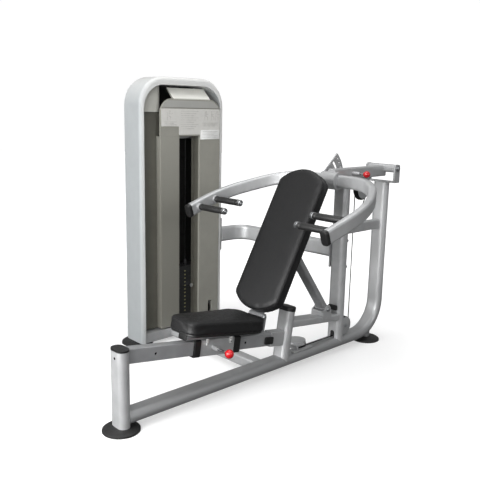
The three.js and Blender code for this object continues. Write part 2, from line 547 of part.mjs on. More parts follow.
function pulleys() {
  const lowZ = CABLE_Z + LOW_PULLEY.r;
  const towerZ = CABLE_Z + TOWER_PULLEY.r;
  const facingY = g => g.rotateX(Math.PI / 2);
  const facingX = g => g.rotateY(Math.PI / 2);
  add('lever_pulley', facingY(pulley(LEVER_PULLEY.r)).translate(LEVER_PULLEY.x, 0, LEVER_PULLEY.z), PLASTIC);
  add('low_pulley', facingY(pulley(LOW_PULLEY.r)).translate(LOW_PULLEY.x, 0, lowZ), PLASTIC);
  add('flat_pulley', pulley(FLAT_PULLEY.r).translate(FLAT_PULLEY.x, FLAT_PULLEY.y, CABLE_Z), PLASTIC);
  add('tower_pulley', facingX(pulley(TOWER_PULLEY.r)).translate(TOWER_PULLEY.x, TOWER_PULLEY.y, towerZ), PLASTIC);
  const top = facingY(pulley(TOP_PULLEY.r)).translate(TOP_PULLEY.x, TOP_PULLEY.y, TOP_PULLEY.z);
  add('top_pulley', top, PLASTIC);

  const lowCheeks = [-1, 1].map(side => alongY(polygon([[LOW_PULLEY.x - 26, BEAM.top + GAP],
    [LOW_PULLEY.x + 26, BEAM.top + GAP], [LOW_PULLEY.x + 16, lowZ + 20], [LOW_PULLEY.x - 16, lowZ + 20]]),
  side < 0 ? -15 : 10, side < 0 ? -10 : 15));
  const lowAxle = rodY(LOW_PULLEY.x, lowZ, 6, -18, 18, 16);
  add('low_pulley_bracket', join(lowAxle, ...lowCheeks), SILVER);

  const { x, y } = FLAT_PULLEY;
  const lid = box(x - 68, x, -12, y + 12, CABLE_Z + 10, CABLE_Z + 16);
  const leg = box(x - 68, x - 60, -18, y + 12, BEAM.top + GAP, CABLE_Z + 12);
  const sole = box(x - 112, x + 48, -34, -12, BEAM.top + GAP, BEAM.top + 7);
  const cover = rodZ(x, y, FLAT_PULLEY.r + 3, CABLE_Z + 10, CABLE_Z + 27, 32);
  const flatAxle = rodZ(x, y, 6, CABLE_Z - 6, CABLE_Z + 12, 16);
  add('flat_pulley_bracket', join(lid, leg, cover, flatAxle, sole), SILVER);

  const seatZ = 82 + GAP;
  const towerCheeks = [-1, 1].map(side => {
    const cheek = alongX(polygon([[TOWER_PULLEY.y - 18, seatZ - 4], [TOWER_PULLEY.y + 30, seatZ - 4],
      [TOWER_PULLEY.y + 14, towerZ + 18], [TOWER_PULLEY.y - 14, towerZ + 18]]), side < 0 ? -15 : 10, side < 0 ? -10 : 15);
    return cheek.translate(TOWER_PULLEY.x, 0, 0);
  });
  const towerAxle = rodX(TOWER_PULLEY.y, towerZ, 6, TOWER_PULLEY.x - 18, TOWER_PULLEY.x + 18, 16);
  add('tower_base', join(towerAxle, ...towerCheeks, ...towerBase()), SILVER);

  const topCheeks = [-1, 1].map(side => box(TOP_PULLEY.x - 18, TOP_PULLEY.x + 18,
    TOP_PULLEY.y + (side < 0 ? -15 : 10), TOP_PULLEY.y + (side < 0 ? -10 : 15), GUIDE.low, GUIDE.top + 4));
  const topAxle = rodY(TOP_PULLEY.x, TOP_PULLEY.z, 6, TOP_PULLEY.y - 18, TOP_PULLEY.y + 18, 16);
  const bar = box(TOWER.x0 + TOWER.wall + 6, TOWER.x1 - TOWER.wall - 6, STACK.y - 17, STACK.y + 17,
    GUIDE.top, GUIDE.top + 24);
  const guides = [-1, 1].map(side => rodZ(STACK.x + side * GUIDE.offset, STACK.y, GUIDE.radius,
    82 + GAP, GUIDE.low + 6, 20));
  const shelf = box(STACK.x - GUIDE.offset - 16, STACK.x + GUIDE.offset + 16, STACK.y - 16, STACK.y + 16,
    GUIDE.low, GUIDE.low + 14);
  const cableHole = rodZ(STACK.x, STACK.y, 6, GUIDE.low - 10, GUIDE.low + 30, 16);
  add('guide_frame', cut(join(bar, shelf, ...guides, topAxle, ...topCheeks), cableHole), SILVER);
}

const cableTube = route => sweep(circle(CABLE, 8), route,
  tangent => (Math.abs(tangent.y) > 0.9 ? V(1, 0, 0) : V(0, 1, 0)));

function cables() {
  const { x, z, r } = LEVER_PULLEY;
  const arc = [V(x - r, 0, z - CABLE_TAIL)];
  const anchorAngle = -27;
  for (let angle = 180; angle >= anchorAngle - 0.1; angle -= 9) {
    const a = angle * Math.PI / 180;
    arc.push(V(x + r * Math.cos(a), 0, z + r * Math.sin(a)));
  }
  add('cable_over_lever_pulley', cableTube(arc), IRON);
  const leave = arc[arc.length - 1];
  const down = V(-Math.cos(63 * Math.PI / 180), 0, -Math.sin(63 * Math.PI / 180));
  const anchorTop = HIGH.z + HIGH.height / 2;
  const run = (leave.z - anchorTop - 16) / -down.z;
  const start = leave.clone().addScaledVector(down, GAP);
  const foot = leave.clone().addScaledVector(down, run);
  const anchor = rodY(foot.x, anchorTop + 12, 9, -14, 14, 16);
  const clevis = box(foot.x - 14, foot.x + 14, -14, 14, anchorTop + GAP, anchorTop + 12);
  add('cable_anchor', join(cableTube([start, foot]), anchor, clevis), IRON);

  const left = x - r;
  const towerY = TOWER_PULLEY.y + TOWER_PULLEY.r;
  const topZ = TOP_PULLEY.z + TOP_PULLEY.r;
  const rest = roundedRoute([V(left, 0, z - CABLE_TAIL - GAP), V(left, 0, CABLE_Z), V(TOWER_PULLEY.x, 0, CABLE_Z),
    V(TOWER_PULLEY.x, towerY, CABLE_Z), V(TOWER_PULLEY.x, towerY, topZ), V(STACK.x, towerY, topZ),
    V(STACK.x, towerY, stackTop() + 32 + GAP)],
  [LOW_PULLEY.r, FLAT_PULLEY.r, TOWER_PULLEY.r, TOP_PULLEY.r, TOP_PULLEY.r], 7);
  add('cable_run', cableTube(rest), IRON);
}

// ---------------------------------------------------------------- weight stack
const stackTop = () => STACK.bottom + (STACK.rest + STACK.lifted) * STACK.plate + GAP + 22;

// A pile of plates seen from the end: one comb outline with a fine groove at each joint.
function pile(count, z0, extra) {
  const { y, deep, plate } = STACK;
  const outline = [];
  const groove = 2.4;
  for (let i = 0; i < count; i++) {
    const low = z0 + i * plate;
    outline.push([y - deep / 2, low + 0.9], [y - deep / 2, low + plate - 0.9]);
    if (i < count - 1) outline.push([y - deep / 2 + groove, low + plate]);
  }
  const top = z0 + count * plate + extra;
  if (extra) outline.push([y - deep / 2, top]);
  const mirrored = outline.map(([py, pz]) => [2 * y - py, pz]).reverse();
  return alongX(polygon([...outline, ...mirrored].reverse()), STACK.x - STACK.wide / 2, STACK.x + STACK.wide / 2);
}

function weights() {
  const { x, y, bottom, rest, lifted, plate } = STACK;
  const guides = grow => [-1, 1].map(side => rodZ(x + side * GUIDE.offset, y, GUIDE.radius + grow, 60, 700, 20));
  const centre = rodZ(x, y, 12.5, 60, 460, 20);
  add('stack_lower_plates', cut(pile(rest, bottom, 0), ...guides(1.2), centre), IRON);
  const split = bottom + rest * plate + GAP;
  const upper = pile(lifted, split, 22);
  const rod = rodZ(x, y, 11, bottom + 30, split + lifted * plate, 20);
  const stem = turned([[0, 0], [15, 0], [15, 20], [9, 32], [0, 32]], 20).translate(x, y, stackTop() - GAP);
  const bore = rodZ(x, y, 5, stackTop() - 270, stackTop() + 60, 16);
  const pinZ = split + plate / 2;
  const pinHole = rodY(x, pinZ, 5.4, y - 70, y + 22, 16);
  add('stack_lifted_plates', cut(join(cut(upper, ...guides(1.2)), rod, stem), bore, pinHole), IRON);
  add('stack_selector_pin', selectorPin(x, pinZ), CHROME);
  const buffer = cut(box(x - 92, x + 92, y - 30, y + 30, 82 + GAP, bottom - GAP), ...guides(1.2));
  add('stack_buffer', buffer, RUBBER);
}

function selectorPin(x, z) {
  const front = STACK.y - STACK.deep / 2;
  const shaft = rodY(x, z, 4.8, front - 4, STACK.y - 6, 16);
  const knob = rodY(x, z, 12, front - 24, front - 3, 20);
  return join(shaft, knob);
}

// ---------------------------------------------------------------- tower
function archOutline(inset, topInset, bottom) {
  const { x0, x1, top, corner } = TOWER;
  const left = x0 + inset;
  const right = x1 - inset;
  const crown = top - topInset;
  const radius = corner - inset;
  const outline = [[left, bottom], [right, bottom]];
  for (let i = 0; i <= 8; i++) {
    const a = i * Math.PI / 16;
    outline.push([right - radius + radius * Math.cos(a), crown - radius + radius * Math.sin(a)]);
  }
  for (let i = 0; i <= 8; i++) {
    const a = Math.PI / 2 + i * Math.PI / 16;
    outline.push([left + radius + radius * Math.cos(a), crown - radius + radius * Math.sin(a)]);
  }
  return outline;
}

function tower() {
  const { x0, x1, y0, y1, bottom, wall } = TOWER;
  const edge = 22;
  const shell = new THREE.ExtrudeGeometry(polygon(archOutline(0, 0, bottom - edge - 10)), { depth: y1 - y0 - 2 * edge,
    bevelEnabled: true, bevelThickness: edge, bevelSize: edge, bevelOffset: -edge, bevelSegments: 4, curveSegments: 1 })
    .rotateX(Math.PI / 2).translate(0, y1 - edge, 0);
  const opening = alongY(polygon(archOutline(wall, TOWER.crownWall, bottom - 100)), y0 - 5, y1 + 5);
  const below = box(x0 - 5, x1 + 5, y0 - 5, y1 + 5, bottom - 100, bottom);
  add('tower_arch', cut(shell, opening, below), WHITE);

  const inX0 = x0 + wall + 1;
  const inX1 = x1 - wall - 1;
  const back = polygon([[inX0, 92], [inX1, 92], ...crownArc(inX0, inX1)]);
  add('tower_back_panel', alongY(back, y1 - 22, y1 - 16), RECESS);
  add('tower_recess_panel', box(inX0, 846, y0 + 46, y0 + 52, 92, 1417), RECESS);
  const cowlBottom = 1419 + GAP;
  const cowlShape = polygon([[inX0, cowlBottom], [inX1, cowlBottom], ...crownArc(inX0, inX1)]);
  const cowlPlan = alongZ(cowlOutline(inX0), cowlBottom, cowlBottom + 200);
  add('tower_cowl', common(alongY(cowlShape, y0, y1 - 22 - GAP), cowlPlan), PANEL);

  const front = y0 + 2;
  const thick = 14;
  const slot0 = 934;
  const slot1 = 1094;
  const panelX0 = 797;
  const headBottom = 1278;
  const leftPanel = join(box(panelX0, slot0, front, front + thick, 92, headBottom - GAP),
    box(panelX0, panelX0 + 6, front, front + 44, 92, headBottom - GAP));
  add('front_panel_left', leftPanel, PANEL);
  const notch = box(TOWER_PULLEY.x - 16, TOWER_PULLEY.x + 16, front - 5, front + thick + 5, 0, 204);
  const rightPanel = join(box(slot1, inX1 - 1, front, front + thick, 96, headBottom - GAP),
    box(slot1, slot1 + 3, front, front + 56, 96, headBottom - GAP));
  add('front_panel_right', cut(rightPanel, notch), PANEL);
  const head = roundedPolygon([[panelX0, headBottom, 0.5], [inX1 - 1, headBottom, 0.5], [inX1 - 1, 1500, 90],
    [panelX0, 1500, 88]], 5);
  const placard = roundedPolygon([[panelX0 + 4, 1336, 3], [slot0 - 2, 1336, 0.5], [slot0 - 2, 1286, 3],
    [slot1, 1286, 0.5], [slot1, 1255, 2], [inX1 - 4, 1255, 2], [inX1 - 4, 1440, 3],
    [panelX0 + 4, 1440, 3]], 2);
  add('instruction_placard', alongY(placard, front - 2 - GAP, front - GAP), PLACARD);
  const band = roundedPolygon([[panelX0 + 12, 1452, 5], [inX1 - 24, 1452, 5], [inX1 - 60, 1488, 8],
    [panelX0 + 52, 1488, 8]], 3);
  const visor = alongX(polygon([[front, 1494], [front + thick, 1494], [front + 70, 1554],
    [front + 70, 1562]]), 891, 1176);
  const bandPlate = alongY(band, front - 2, front + 1);
  add('front_header', join(alongY(head, front, front + thick), bandPlate, visor), PANEL);
}

function towerBase() {
  const x0 = TOWER.x0 + TOWER.wall + 1;
  const x1 = TOWER.x1 - TOWER.wall - 1;
  const low = FOOT.height + GAP;
  return [box(x0, x1, 785, 855, low, 82), box(x0, x0 + 61, 785, 950, low, 82), box(x1 - 61, x1, 785, 950, low, 82)];
}

// The underside of the arch's crown, from its right shoulder to its left one.
function crownArc(x0, x1) {
  const radius = TOWER.corner - TOWER.wall - 1;
  const crown = TOWER.top - TOWER.crownWall - 1;
  const points = [];
  for (let i = 0; i <= 6; i++) {
    const a = i * Math.PI / 12;
    points.push([x1 - radius + radius * Math.cos(a), crown - radius + radius * Math.sin(a)]);
  }
  for (let i = 0; i <= 6; i++) {
    const a = Math.PI / 2 + i * Math.PI / 12;
    points.push([x0 + radius + radius * Math.cos(a), crown - radius + radius * Math.sin(a)]);
  }
  return points;
}

// Plan of the cowl: flat beside the header, then rounded back toward the guide frame.
function cowlOutline(x0) {
  const wall = 6;
  const radius = 52;
  const face = TOWER.y0 + 34;
  const turn = 785;
  const outer = [[x0, face]];
  const inner = [[x0, face + wall]];
  for (let i = 0; i <= 6; i++) {
    const a = i * Math.PI / 12;
    outer.push([turn + radius * Math.sin(a), face + radius * (1 - Math.cos(a))]);
    inner.push([turn + (radius - wall) * Math.sin(a), face + radius - (radius - wall) * Math.cos(a)]);
  }
  return polygon([...outer, ...inner.reverse()]);
}

function braces() {
  const low = sweep(roundRect(62, 58, 10, 3), [V(LOWER_BRACE_X, 0, 58), V(LOWER_BRACE_X, 785 - GAP, 58)], V(1, 0, 0));
  add('lower_brace', cut(low, beamTube(GAP)), SILVER);
  const side = TOWER.x1;
  const route = roundedRoute([V(side + 4, 800, 634), V(1478, 792, 634), V(1522, 54, 634)], [100], 8);
  const tube = sweep(roundRect(40, 100, 19, 4), route, tangent => V(0, 0, 1).cross(tangent));
  const towerPlate = box(side + GAP, side + 8, 790, 862, 530, 742);
  const flange = box(1510, 1574, 50 + GAP, 58, 522, 700);
  add('upper_brace', join(tube, towerPlate, flange), SILVER);
}

feet();
mainFrame();
uprights();
crossTubes();
rail();
carriage();
backPad();
strut();
lever();
yoke();
pulleys();
cables();
weights();
tower();
braces();

machine.updateMatrixWorld(true);
const bounds = new THREE.Box3().setFromObject(machine);
const middle = bounds.getCenter(new THREE.Vector3());
const part = new THREE.Group();
machine.position.set(-middle.x, -middle.y, -bounds.min.z);
part.add(machine);

export default part;
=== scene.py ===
"""Looks of the seated press machine: finishes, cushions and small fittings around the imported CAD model.

Lengths below are millimetres in the machine's own axes: the front post stands at X = 0, Y = 0,
X runs to the rear, Y runs to the weight tower, Z is up. at() turns them into metres in the row frame.
"""
import math

import bmesh
import bpy
from mathutils import Matrix, Vector
from mathutils.bvhtree import BVHTree


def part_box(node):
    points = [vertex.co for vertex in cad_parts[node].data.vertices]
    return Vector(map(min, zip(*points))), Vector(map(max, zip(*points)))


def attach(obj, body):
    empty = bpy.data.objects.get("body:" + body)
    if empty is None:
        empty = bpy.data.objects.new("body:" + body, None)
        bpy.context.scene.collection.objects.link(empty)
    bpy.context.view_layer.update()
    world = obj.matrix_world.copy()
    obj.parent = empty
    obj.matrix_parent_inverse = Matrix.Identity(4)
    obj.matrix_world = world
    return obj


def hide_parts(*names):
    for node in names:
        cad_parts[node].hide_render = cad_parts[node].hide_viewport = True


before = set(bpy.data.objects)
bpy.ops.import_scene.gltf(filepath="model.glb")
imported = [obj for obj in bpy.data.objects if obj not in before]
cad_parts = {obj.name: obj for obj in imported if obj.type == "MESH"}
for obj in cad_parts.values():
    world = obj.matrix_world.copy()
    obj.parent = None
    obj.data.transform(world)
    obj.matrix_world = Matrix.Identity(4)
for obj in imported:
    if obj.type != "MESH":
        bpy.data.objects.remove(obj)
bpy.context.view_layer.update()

# ---- driving dimensions
# The seat rail falls 0.15 per unit of X; RAIL_Z is the height of its middle line at X = 0.
RAIL_TILT = math.atan(0.15)
RAIL_Z = 357.5
# The pad's axes start at x, z on its face. low and high are its ends, heel and crown the arcs' radii there.
PAD = {"x": 829, "z": 475, "tilt": math.radians(29), "half": 160, "low": -66, "high": 756, "thick": 64,
       "crown": 212, "heel": 222}
# front and back are X values; base is the cushion's underside over the rail's middle line.
SEAT = {"front": 316, "back": 796, "half_front": 97, "half_back": 140, "corner_front": 46, "corner_back": 66,
        "thick": 62, "base": 88.6}
# The leaning post stands square to the seat rail, on a foot at x, z.
LEAN = {"x": 1048, "z": 62, "length": 310, "wide": 60, "deep": 100}
# Two points of the far arm's middle line, and its section.
ARM_END = {"tip": (783, 496, 874), "before": (900, 503, 912), "wide": 42, "tall": 72, "corner": 14}
# X and Z of each grip, and the Y of its free end and of its end at the arm.
GRIPS = {"lower": (848, 895), "upper": (963, 931)}
GRIP_FREE_END = 262
GRIP_ARM_END = 470
GRIP_RADIUS = 17
# The mid upright's middle line, its front face, and the radius of its corners.
UPRIGHT = {"x": 1535, "front": 1505, "corner": 30}
# X and Z of pivots and pulleys; the strut's top and the pad's pivot are given up the pad and back through it.
STRUT_FOOT = (1400, 300)
STRUT_TOP = (336, 112)
PAD_PIVOT = (-80, 76)
LEVER_PIVOT = (1928, 1105)
LEVER_PULLEY = (1719, 985)
LOW_PULLEY = (1607, 150)
# Balls of the pull pins: middle and radius. The seat's is X, Y on the rail's middle line.
PIN_SEAT = (520, -152, 22)
PIN_ARM = (1595.6, -122, 1089.0, 19)
# Weight tower: Y of its front panels and of the back of its rear panel, and the plates in it.
PANEL_FRONT = 780
BACK_PANEL_REAR = 939
STACK = {"x": 1062, "front": 842, "bottom": 92, "plate": 24, "lower": 9, "count": 14}

post_low, post_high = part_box("front_post")
ORIGIN = Vector(((post_low.x + post_high.x) / 2, (post_low.y + post_high.y) / 2, 0.0))


def at(x, y, z):
    """A point in machine millimetres, as metres in the row frame."""
    return ORIGIN + Vector((x, y, z)) / 1000


def on_rail(along, across, up):
    """A point in the sloping rail's axes."""
    c, s = math.cos(RAIL_TILT), math.sin(RAIL_TILT)
    return at(along * c + up * s, across, RAIL_Z - along * s + up * c)


def on_pad(up, across, back):
    """A point in the back pad's axes: up the pad, across it, and back through its thickness."""
    c, s = math.cos(PAD["tilt"]), math.sin(PAD["tilt"])
    return at(PAD["x"] + up * s + back * c, across, PAD["z"] + up * c - back * s)


RAIL_ALONG = Vector((math.cos(RAIL_TILT), 0, -math.sin(RAIL_TILT)))
RAIL_UP = Vector((math.sin(RAIL_TILT), 0, math.cos(RAIL_TILT)))
PAD_BACK = Vector((math.cos(PAD["tilt"]), 0, -math.sin(PAD["tilt"])))
ACROSS = Vector((0, 1, 0))
BACKWARD = Vector((1, 0, 0))
UP = Vector((0, 0, 1))


# ---- materials
def colour(hex_code):
    """Linear colour of an sRGB hex code."""
    channels = [int(hex_code[i:i + 2], 16) / 255 for i in (1, 3, 5)]
    linear = [c / 12.92 if c <= 0.04045 else ((c + 0.055) / 1.055) ** 2.4 for c in channels]
    return (*linear, 1.0)


class Finish:
    """A node material: a principled surface with helpers that add variation and relief."""

    def __init__(self, name):
        self.material = bpy.data.materials.new(name)
        self.material.use_nodes = True
        self.tree = self.material.node_tree
        self.surface = self.tree.nodes["Principled BSDF"]
        self.coords = self.tree.nodes.new("ShaderNodeTexCoord").outputs["Object"]

    def set(self, **values):
        """Sets sockets of the surface; an underscore stands for a space in a socket's name."""
        for name, value in values.items():
            self.surface.inputs[name.replace("_", " ")].default_value = value
        return self

    def noise(self, scale, detail=3.0, stretch=None):
        """Soft clouds; scale is about how many fit in a metre."""
        node = self.tree.nodes.new("ShaderNodeTexNoise")
        node.inputs["Scale"].default_value = scale
        node.inputs["Detail"].default_value = detail
        self.tree.links.new(self.stretched(stretch), node.inputs["Vector"])
        return node.outputs["Fac"]

    def cells(self, scale):
        """Pebbles; scale is about how many fit in a metre."""
        node = self.tree.nodes.new("ShaderNodeTexVoronoi")
        node.inputs["Scale"].default_value = scale
        self.tree.links.new(self.coords, node.inputs["Vector"])
        return node.outputs["Distance"]

    def height(self, low, high):
        """Rises from 0 at the height low to 1 at the height high, in metres, with a faint drift."""
        split = self.tree.nodes.new("ShaderNodeSeparateXYZ")
        drift = self.tree.nodes.new("ShaderNodeMath")
        drift.operation = "MULTIPLY_ADD"
        drift.inputs[1].default_value = 0.06  # metres up or down
        node = self.tree.nodes.new("ShaderNodeMapRange")
        node.inputs["From Min"].default_value = low
        node.inputs["From Max"].default_value = high
        self.tree.links.new(self.coords, split.inputs["Vector"])
        self.tree.links.new(self.noise(16, 5), drift.inputs[0])
        self.tree.links.new(split.outputs["Z"], drift.inputs[2])
        self.tree.links.new(drift.outputs["Value"], node.inputs["Value"])
        return node.outputs["Result"]

    def stretched(self, stretch):
        """Object coordinates, scaled by three factors where stretch is given."""
        if stretch is None:
            return self.coords
        node = self.tree.nodes.new("ShaderNodeMapping")
        node.inputs["Scale"].default_value = stretch
        self.tree.links.new(self.coords, node.inputs["Vector"])
        return node.outputs["Vector"]

    def tones(self, factor, dark, light, low=0.35, high=0.65):
        """Base colour that wanders between two tones."""
        ramp = self.tree.nodes.new("ShaderNodeValToRGB")
        ramp.color_ramp.elements[0].position = low
        ramp.color_ramp.elements[0].color = dark
        ramp.color_ramp.elements[1].position = high
        ramp.color_ramp.elements[1].color = light
        self.tree.links.new(factor, ramp.inputs["Fac"])
        self.tree.links.new(ramp.outputs["Color"], self.surface.inputs["Base Color"])
        return self

    def gloss(self, factor, low, high):
        """Roughness that wanders between two values."""
        node = self.tree.nodes.new("ShaderNodeMapRange")
        node.inputs["From Min"].default_value = 0.3
        node.inputs["From Max"].default_value = 0.7
        node.inputs["To Min"].default_value = low
        node.inputs["To Max"].default_value = high
        self.tree.links.new(factor, node.inputs["Value"])
        self.tree.links.new(node.outputs["Result"], self.surface.inputs["Roughness"])
        return self

    def relief(self, *layers, edge=0.0):
        """Bump layers given as (height, strength, distance in metres), over edges rounded by edge metres."""
        last = None
        if edge:
            rounding = self.tree.nodes.new("ShaderNodeBevel")
            rounding.samples = 4
            rounding.inputs["Radius"].default_value = edge
            last = rounding.outputs["Normal"]
        for height, strength, distance in layers:
            bump = self.tree.nodes.new("ShaderNodeBump")
            bump.inputs["Strength"].default_value = strength
            bump.inputs["Distance"].default_value = distance
            self.tree.links.new(height, bump.inputs["Height"])
            if last is not None:
                self.tree.links.new(last, bump.inputs["Normal"])
            last = bump.outputs["Normal"]
        self.tree.links.new(last, self.surface.inputs["Normal"])
        return self


def shade(rgba, factor):
    """The colour, lighter or darker."""
    return tuple(min(1.0, c * factor) for c in rgba[:3]) + (1.0,)


def painted(name, base, metallic=0.45, rough=(0.33, 0.45), spread=0.06, edge=0.0016, painted_low_shade=None):
    """Powder coated steel: fine orange peel, faint clouding and a little metal flake.

    The optional darker low tone is painted shade: it stands for less light low down, and clears to base
    between two heights in metres.
    """
    tone = colour(base)
    f = Finish(name).set(Metallic=metallic, Coat_Weight=0.12, Coat_Roughness=0.25)
    # Painted shade: the colour runs from the darker tone low down to base higher up.
    if painted_low_shade:
        darker, low, high = painted_low_shade
        f.tones(f.height(low, high), colour(darker), tone, 0.0, 1.0)
    else:
        f.tones(f.noise(16, 5), shade(tone, 1 - spread), shade(tone, 1 + spread))
    f.gloss(f.noise(38, 4), *rough)
    f.relief((f.noise(950, 2), 0.10, 0.0004), (f.noise(4200, 1), 0.05, 0.0001), edge=edge)
    return f.material


def moulded(name, base, rough=(0.42, 0.58), grain=1500, depth=0.0002, edge=0.001, specular=0.5, spread=0.2):
    """Moulded plastic or rubber: spark-eroded grain and faint handling marks."""
    tone = colour(base)
    f = Finish(name).set(Specular_IOR_Level=specular)
    f.tones(f.noise(60, 4), shade(tone, 1 - spread), shade(tone, 1 + spread))
    f.gloss(f.noise(90, 4), *rough)
    f.relief((f.noise(grain, 3), 0.25, depth), (f.noise(120, 2), 0.06, 0.0008), edge=edge)
    return f.material


def vinyl(name, base):
    """Upholstery vinyl: pebbled grain, soft creasing and a light sheen."""
    tone = colour(base)
    f = Finish(name).set(Coat_Weight=0.05, Coat_Roughness=0.3, Specular_IOR_Level=0.36)
    f.tones(f.noise(22, 5), shade(tone, 0.86), shade(tone, 1.14))
    f.gloss(f.noise(70, 4), 0.40, 0.52)
    f.relief((f.noise(26, 4), 0.16, 0.004), (f.cells(760), 0.34, 0.0006), (f.cells(1500), 0.16, 0.0003))
    return f.material


def bright(name, base="#d8dadc", rough=(0.08, 0.2)):
    """Polished or plated metal with faint turning marks."""
    tone = colour(base)
    f = Finish(name).set(Metallic=1.0)
    f.tones(f.noise(140, 4), shade(tone, 0.93), shade(tone, 1.05))
    f.gloss(f.noise(260, 3), *rough)
    f.relief((f.noise(900, 2, stretch=(1.0, 9.0, 1.0)), 0.05, 0.0001), edge=0.0006)
    return f.material


SILVER = painted("silver_powder_coat", "#b4b5b6")
# A darker silver coat; on the seat rail its darkness is painted shade.
DARK = painted("dark_silver_coat_and_rail_shade", "#98999b", metallic=0.35)
# The main beam: darker towards the floor as painted shade, paler higher up.
BEAM = painted("beam_coat_painted_floor_shade", "#d2d3d4", painted_low_shade=("#969798", 0.12, 0.5))
WHITE = painted("white_powder_coat", "#d7d7d5", metallic=0.0, rough=(0.30, 0.40), spread=0.02)
PANEL = painted("panel_grey", "#96958d", metallic=0.15, rough=(0.38, 0.5), spread=0.03, edge=0.0008)
# A shaded copy of the panel grey for the left front panel: darker towards its bottom as painted shade.
PANEL_LEFT_SHADED = painted("left_panel_painted_shade", "#96958d", metallic=0.15, rough=(0.38, 0.5), edge=0.0008,
                     painted_low_shade=("#807f77", 0.8, 1.3))
RECESS = painted("recess_grey", "#5c5b53", metallic=0.1, rough=(0.45, 0.6), spread=0.04, edge=0.0008)
# Near-black back panel of the weight bay: painted shade inside the tower.
BAY_SHADE = painted("bay_painted_shade", "#191917", metallic=0.0, rough=(0.5, 0.7), spread=0.05, edge=0.0)
COWL = painted("cowl_grey", "#bcbcb5", metallic=0.15, rough=(0.36, 0.46), spread=0.03, edge=0.0008)
VISOR = painted("visor_grey", "#f0f0ea", metallic=0.15, rough=(0.3, 0.4), spread=0.02, edge=0.0008)
BAND = painted("header_grey", "#a6a6a2", metallic=0.15, rough=(0.35, 0.45), spread=0.02, edge=0.0006)
PLACARD = moulded("placard_print", "#c9c8c4", rough=(0.3, 0.4), grain=3000, depth=0.00005, spread=0.02)
LABEL = moulded("label_white", "#e2e3e1", rough=(0.35, 0.45), grain=3000, depth=0.00005, spread=0.02)
TAG = moulded("plate_number_tag", "#7d7b58", rough=(0.45, 0.6), grain=3000, depth=0.00005)
INK = moulded("ink_grey", "#a3a29e", rough=(0.5, 0.6), grain=3000, depth=0.00003, edge=0.0)
RUBBER = moulded("foot_rubber", "#181818", rough=(0.42, 0.6), grain=900, depth=0.0006)
GRIP = moulded("grip_rubber", "#191919", rough=(0.42, 0.55), grain=700, depth=0.0006)
NYLON = moulded("black_nylon", "#121212", rough=(0.35, 0.5), grain=1800)
VINYL = vinyl("black_vinyl", "#101011")
THREAD = moulded("seam_thread", "#262627", rough=(0.6, 0.8), grain=2600)
CHROME = bright("chrome")
ZINC = bright("zinc_bolt", "#b9bbbd", rough=(0.22, 0.38))
IRON = painted("stack_black", "#232425", metallic=0.2, rough=(0.4, 0.55), spread=0.1, edge=0.001)
CABLE = moulded("cable_sheath", "#171717", rough=(0.3, 0.42), grain=2400)
# Near-black and dull: painted shade inside holes and the cable slot.
HOLE_SHADE = moulded("hole_painted_shade", "#0a0a0a", rough=(0.7, 0.9), grain=900, specular=0.1)


def red_gloss():
    """Lacquer of the ball knobs."""
    f = Finish("red_gloss").set(Coat_Weight=0.6, Coat_Roughness=0.06)
    f.tones(f.noise(90, 3), colour("#b80f18"), colour("#cf1720"))
    f.gloss(f.noise(160, 3), 0.16, 0.26)
    f.relief((f.noise(300, 2), 0.03, 0.0004))
    return f.material


RED = red_gloss()

# ---- CAD nodes: finish and shading
CAD_FINISH = {
    SILVER: "front_post mid_upright leaning_post mid_tube high_cross_tube lever_pivot_bracket "
            "low_pulley_bracket flat_pulley_bracket tower_base guide_frame carriage_sleeve lever_beam "
            "yoke_hub press_arm_near press_arm_far sector_plate lower_brace upper_brace",
    # On the seat rail the darker coat is painted shade: the rail takes less light than the posts.
    DARK: "seat_rail seat_support pad_frame strut",
    BEAM: "main_beam",
    WHITE: "tower_arch",
    PANEL: "front_panel_right front_header",
    PANEL_LEFT_SHADED: "front_panel_left",
    COWL: "tower_cowl",
    RECESS: "tower_recess_panel",
    BAY_SHADE: "tower_back_panel",
    PLACARD: "instruction_placard",
    RUBBER: "foot_front foot_rear foot_tower_left foot_tower_right lever_rest_bumper stack_buffer",
    GRIP: "grip_near_lower grip_near_upper grip_far_lower grip_far_upper",
    NYLON: "front_post_cap carriage_bushing_front carriage_bushing_rear lever_pulley low_pulley flat_pulley "
           "tower_pulley top_pulley",
    CHROME: "seat_pull_pin arm_pull_pin stack_selector_pin",
    IRON: "stack_lower_plates stack_lifted_plates",
    CABLE: "cable_anchor cable_run cable_over_lever_pulley",
}


def soften(obj, angle=34):
    """Shades a faceted CAD node smoothly across its gentle edges, without moving a vertex."""
    if obj.data.has_custom_normals:
        with bpy.context.temp_override(object=obj, active_object=obj, selected_objects=[obj]):
            bpy.ops.mesh.customdata_custom_splitnormals_clear()
    obj.data.polygons.foreach_set("use_smooth", [True] * len(obj.data.polygons))
    weld = obj.modifiers.new("weld", "WELD")
    weld.merge_threshold = 0.00002  # metres
    split = obj.modifiers.new("split", "EDGE_SPLIT")
    split.split_angle = math.radians(angle)
    weighted = obj.modifiers.new("weighted", "WEIGHTED_NORMAL")
    weighted.keep_sharp = True


for material, names in CAD_FINISH.items():
    for node in names.split():
        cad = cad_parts[node]
        cad.data.materials.clear()
        cad.data.materials.append(material)
        soften(cad)


# ---- mesh helpers
def piece(name, mesh, material, body, smooth=40):
    """Puts a mesh in the scene on its body, with its finish. Edges over smooth degrees stay sharp."""
    mesh.materials.clear()
    mesh.materials.append(material)
    mesh.polygons.foreach_set("use_smooth", [True] * len(mesh.polygons))
    if smooth:
        mesh.set_sharp_from_angle(angle=math.radians(smooth))
    obj = bpy.data.objects.new(name, mesh)
    bpy.context.scene.collection.objects.link(obj)
    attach(obj, body)
    return obj


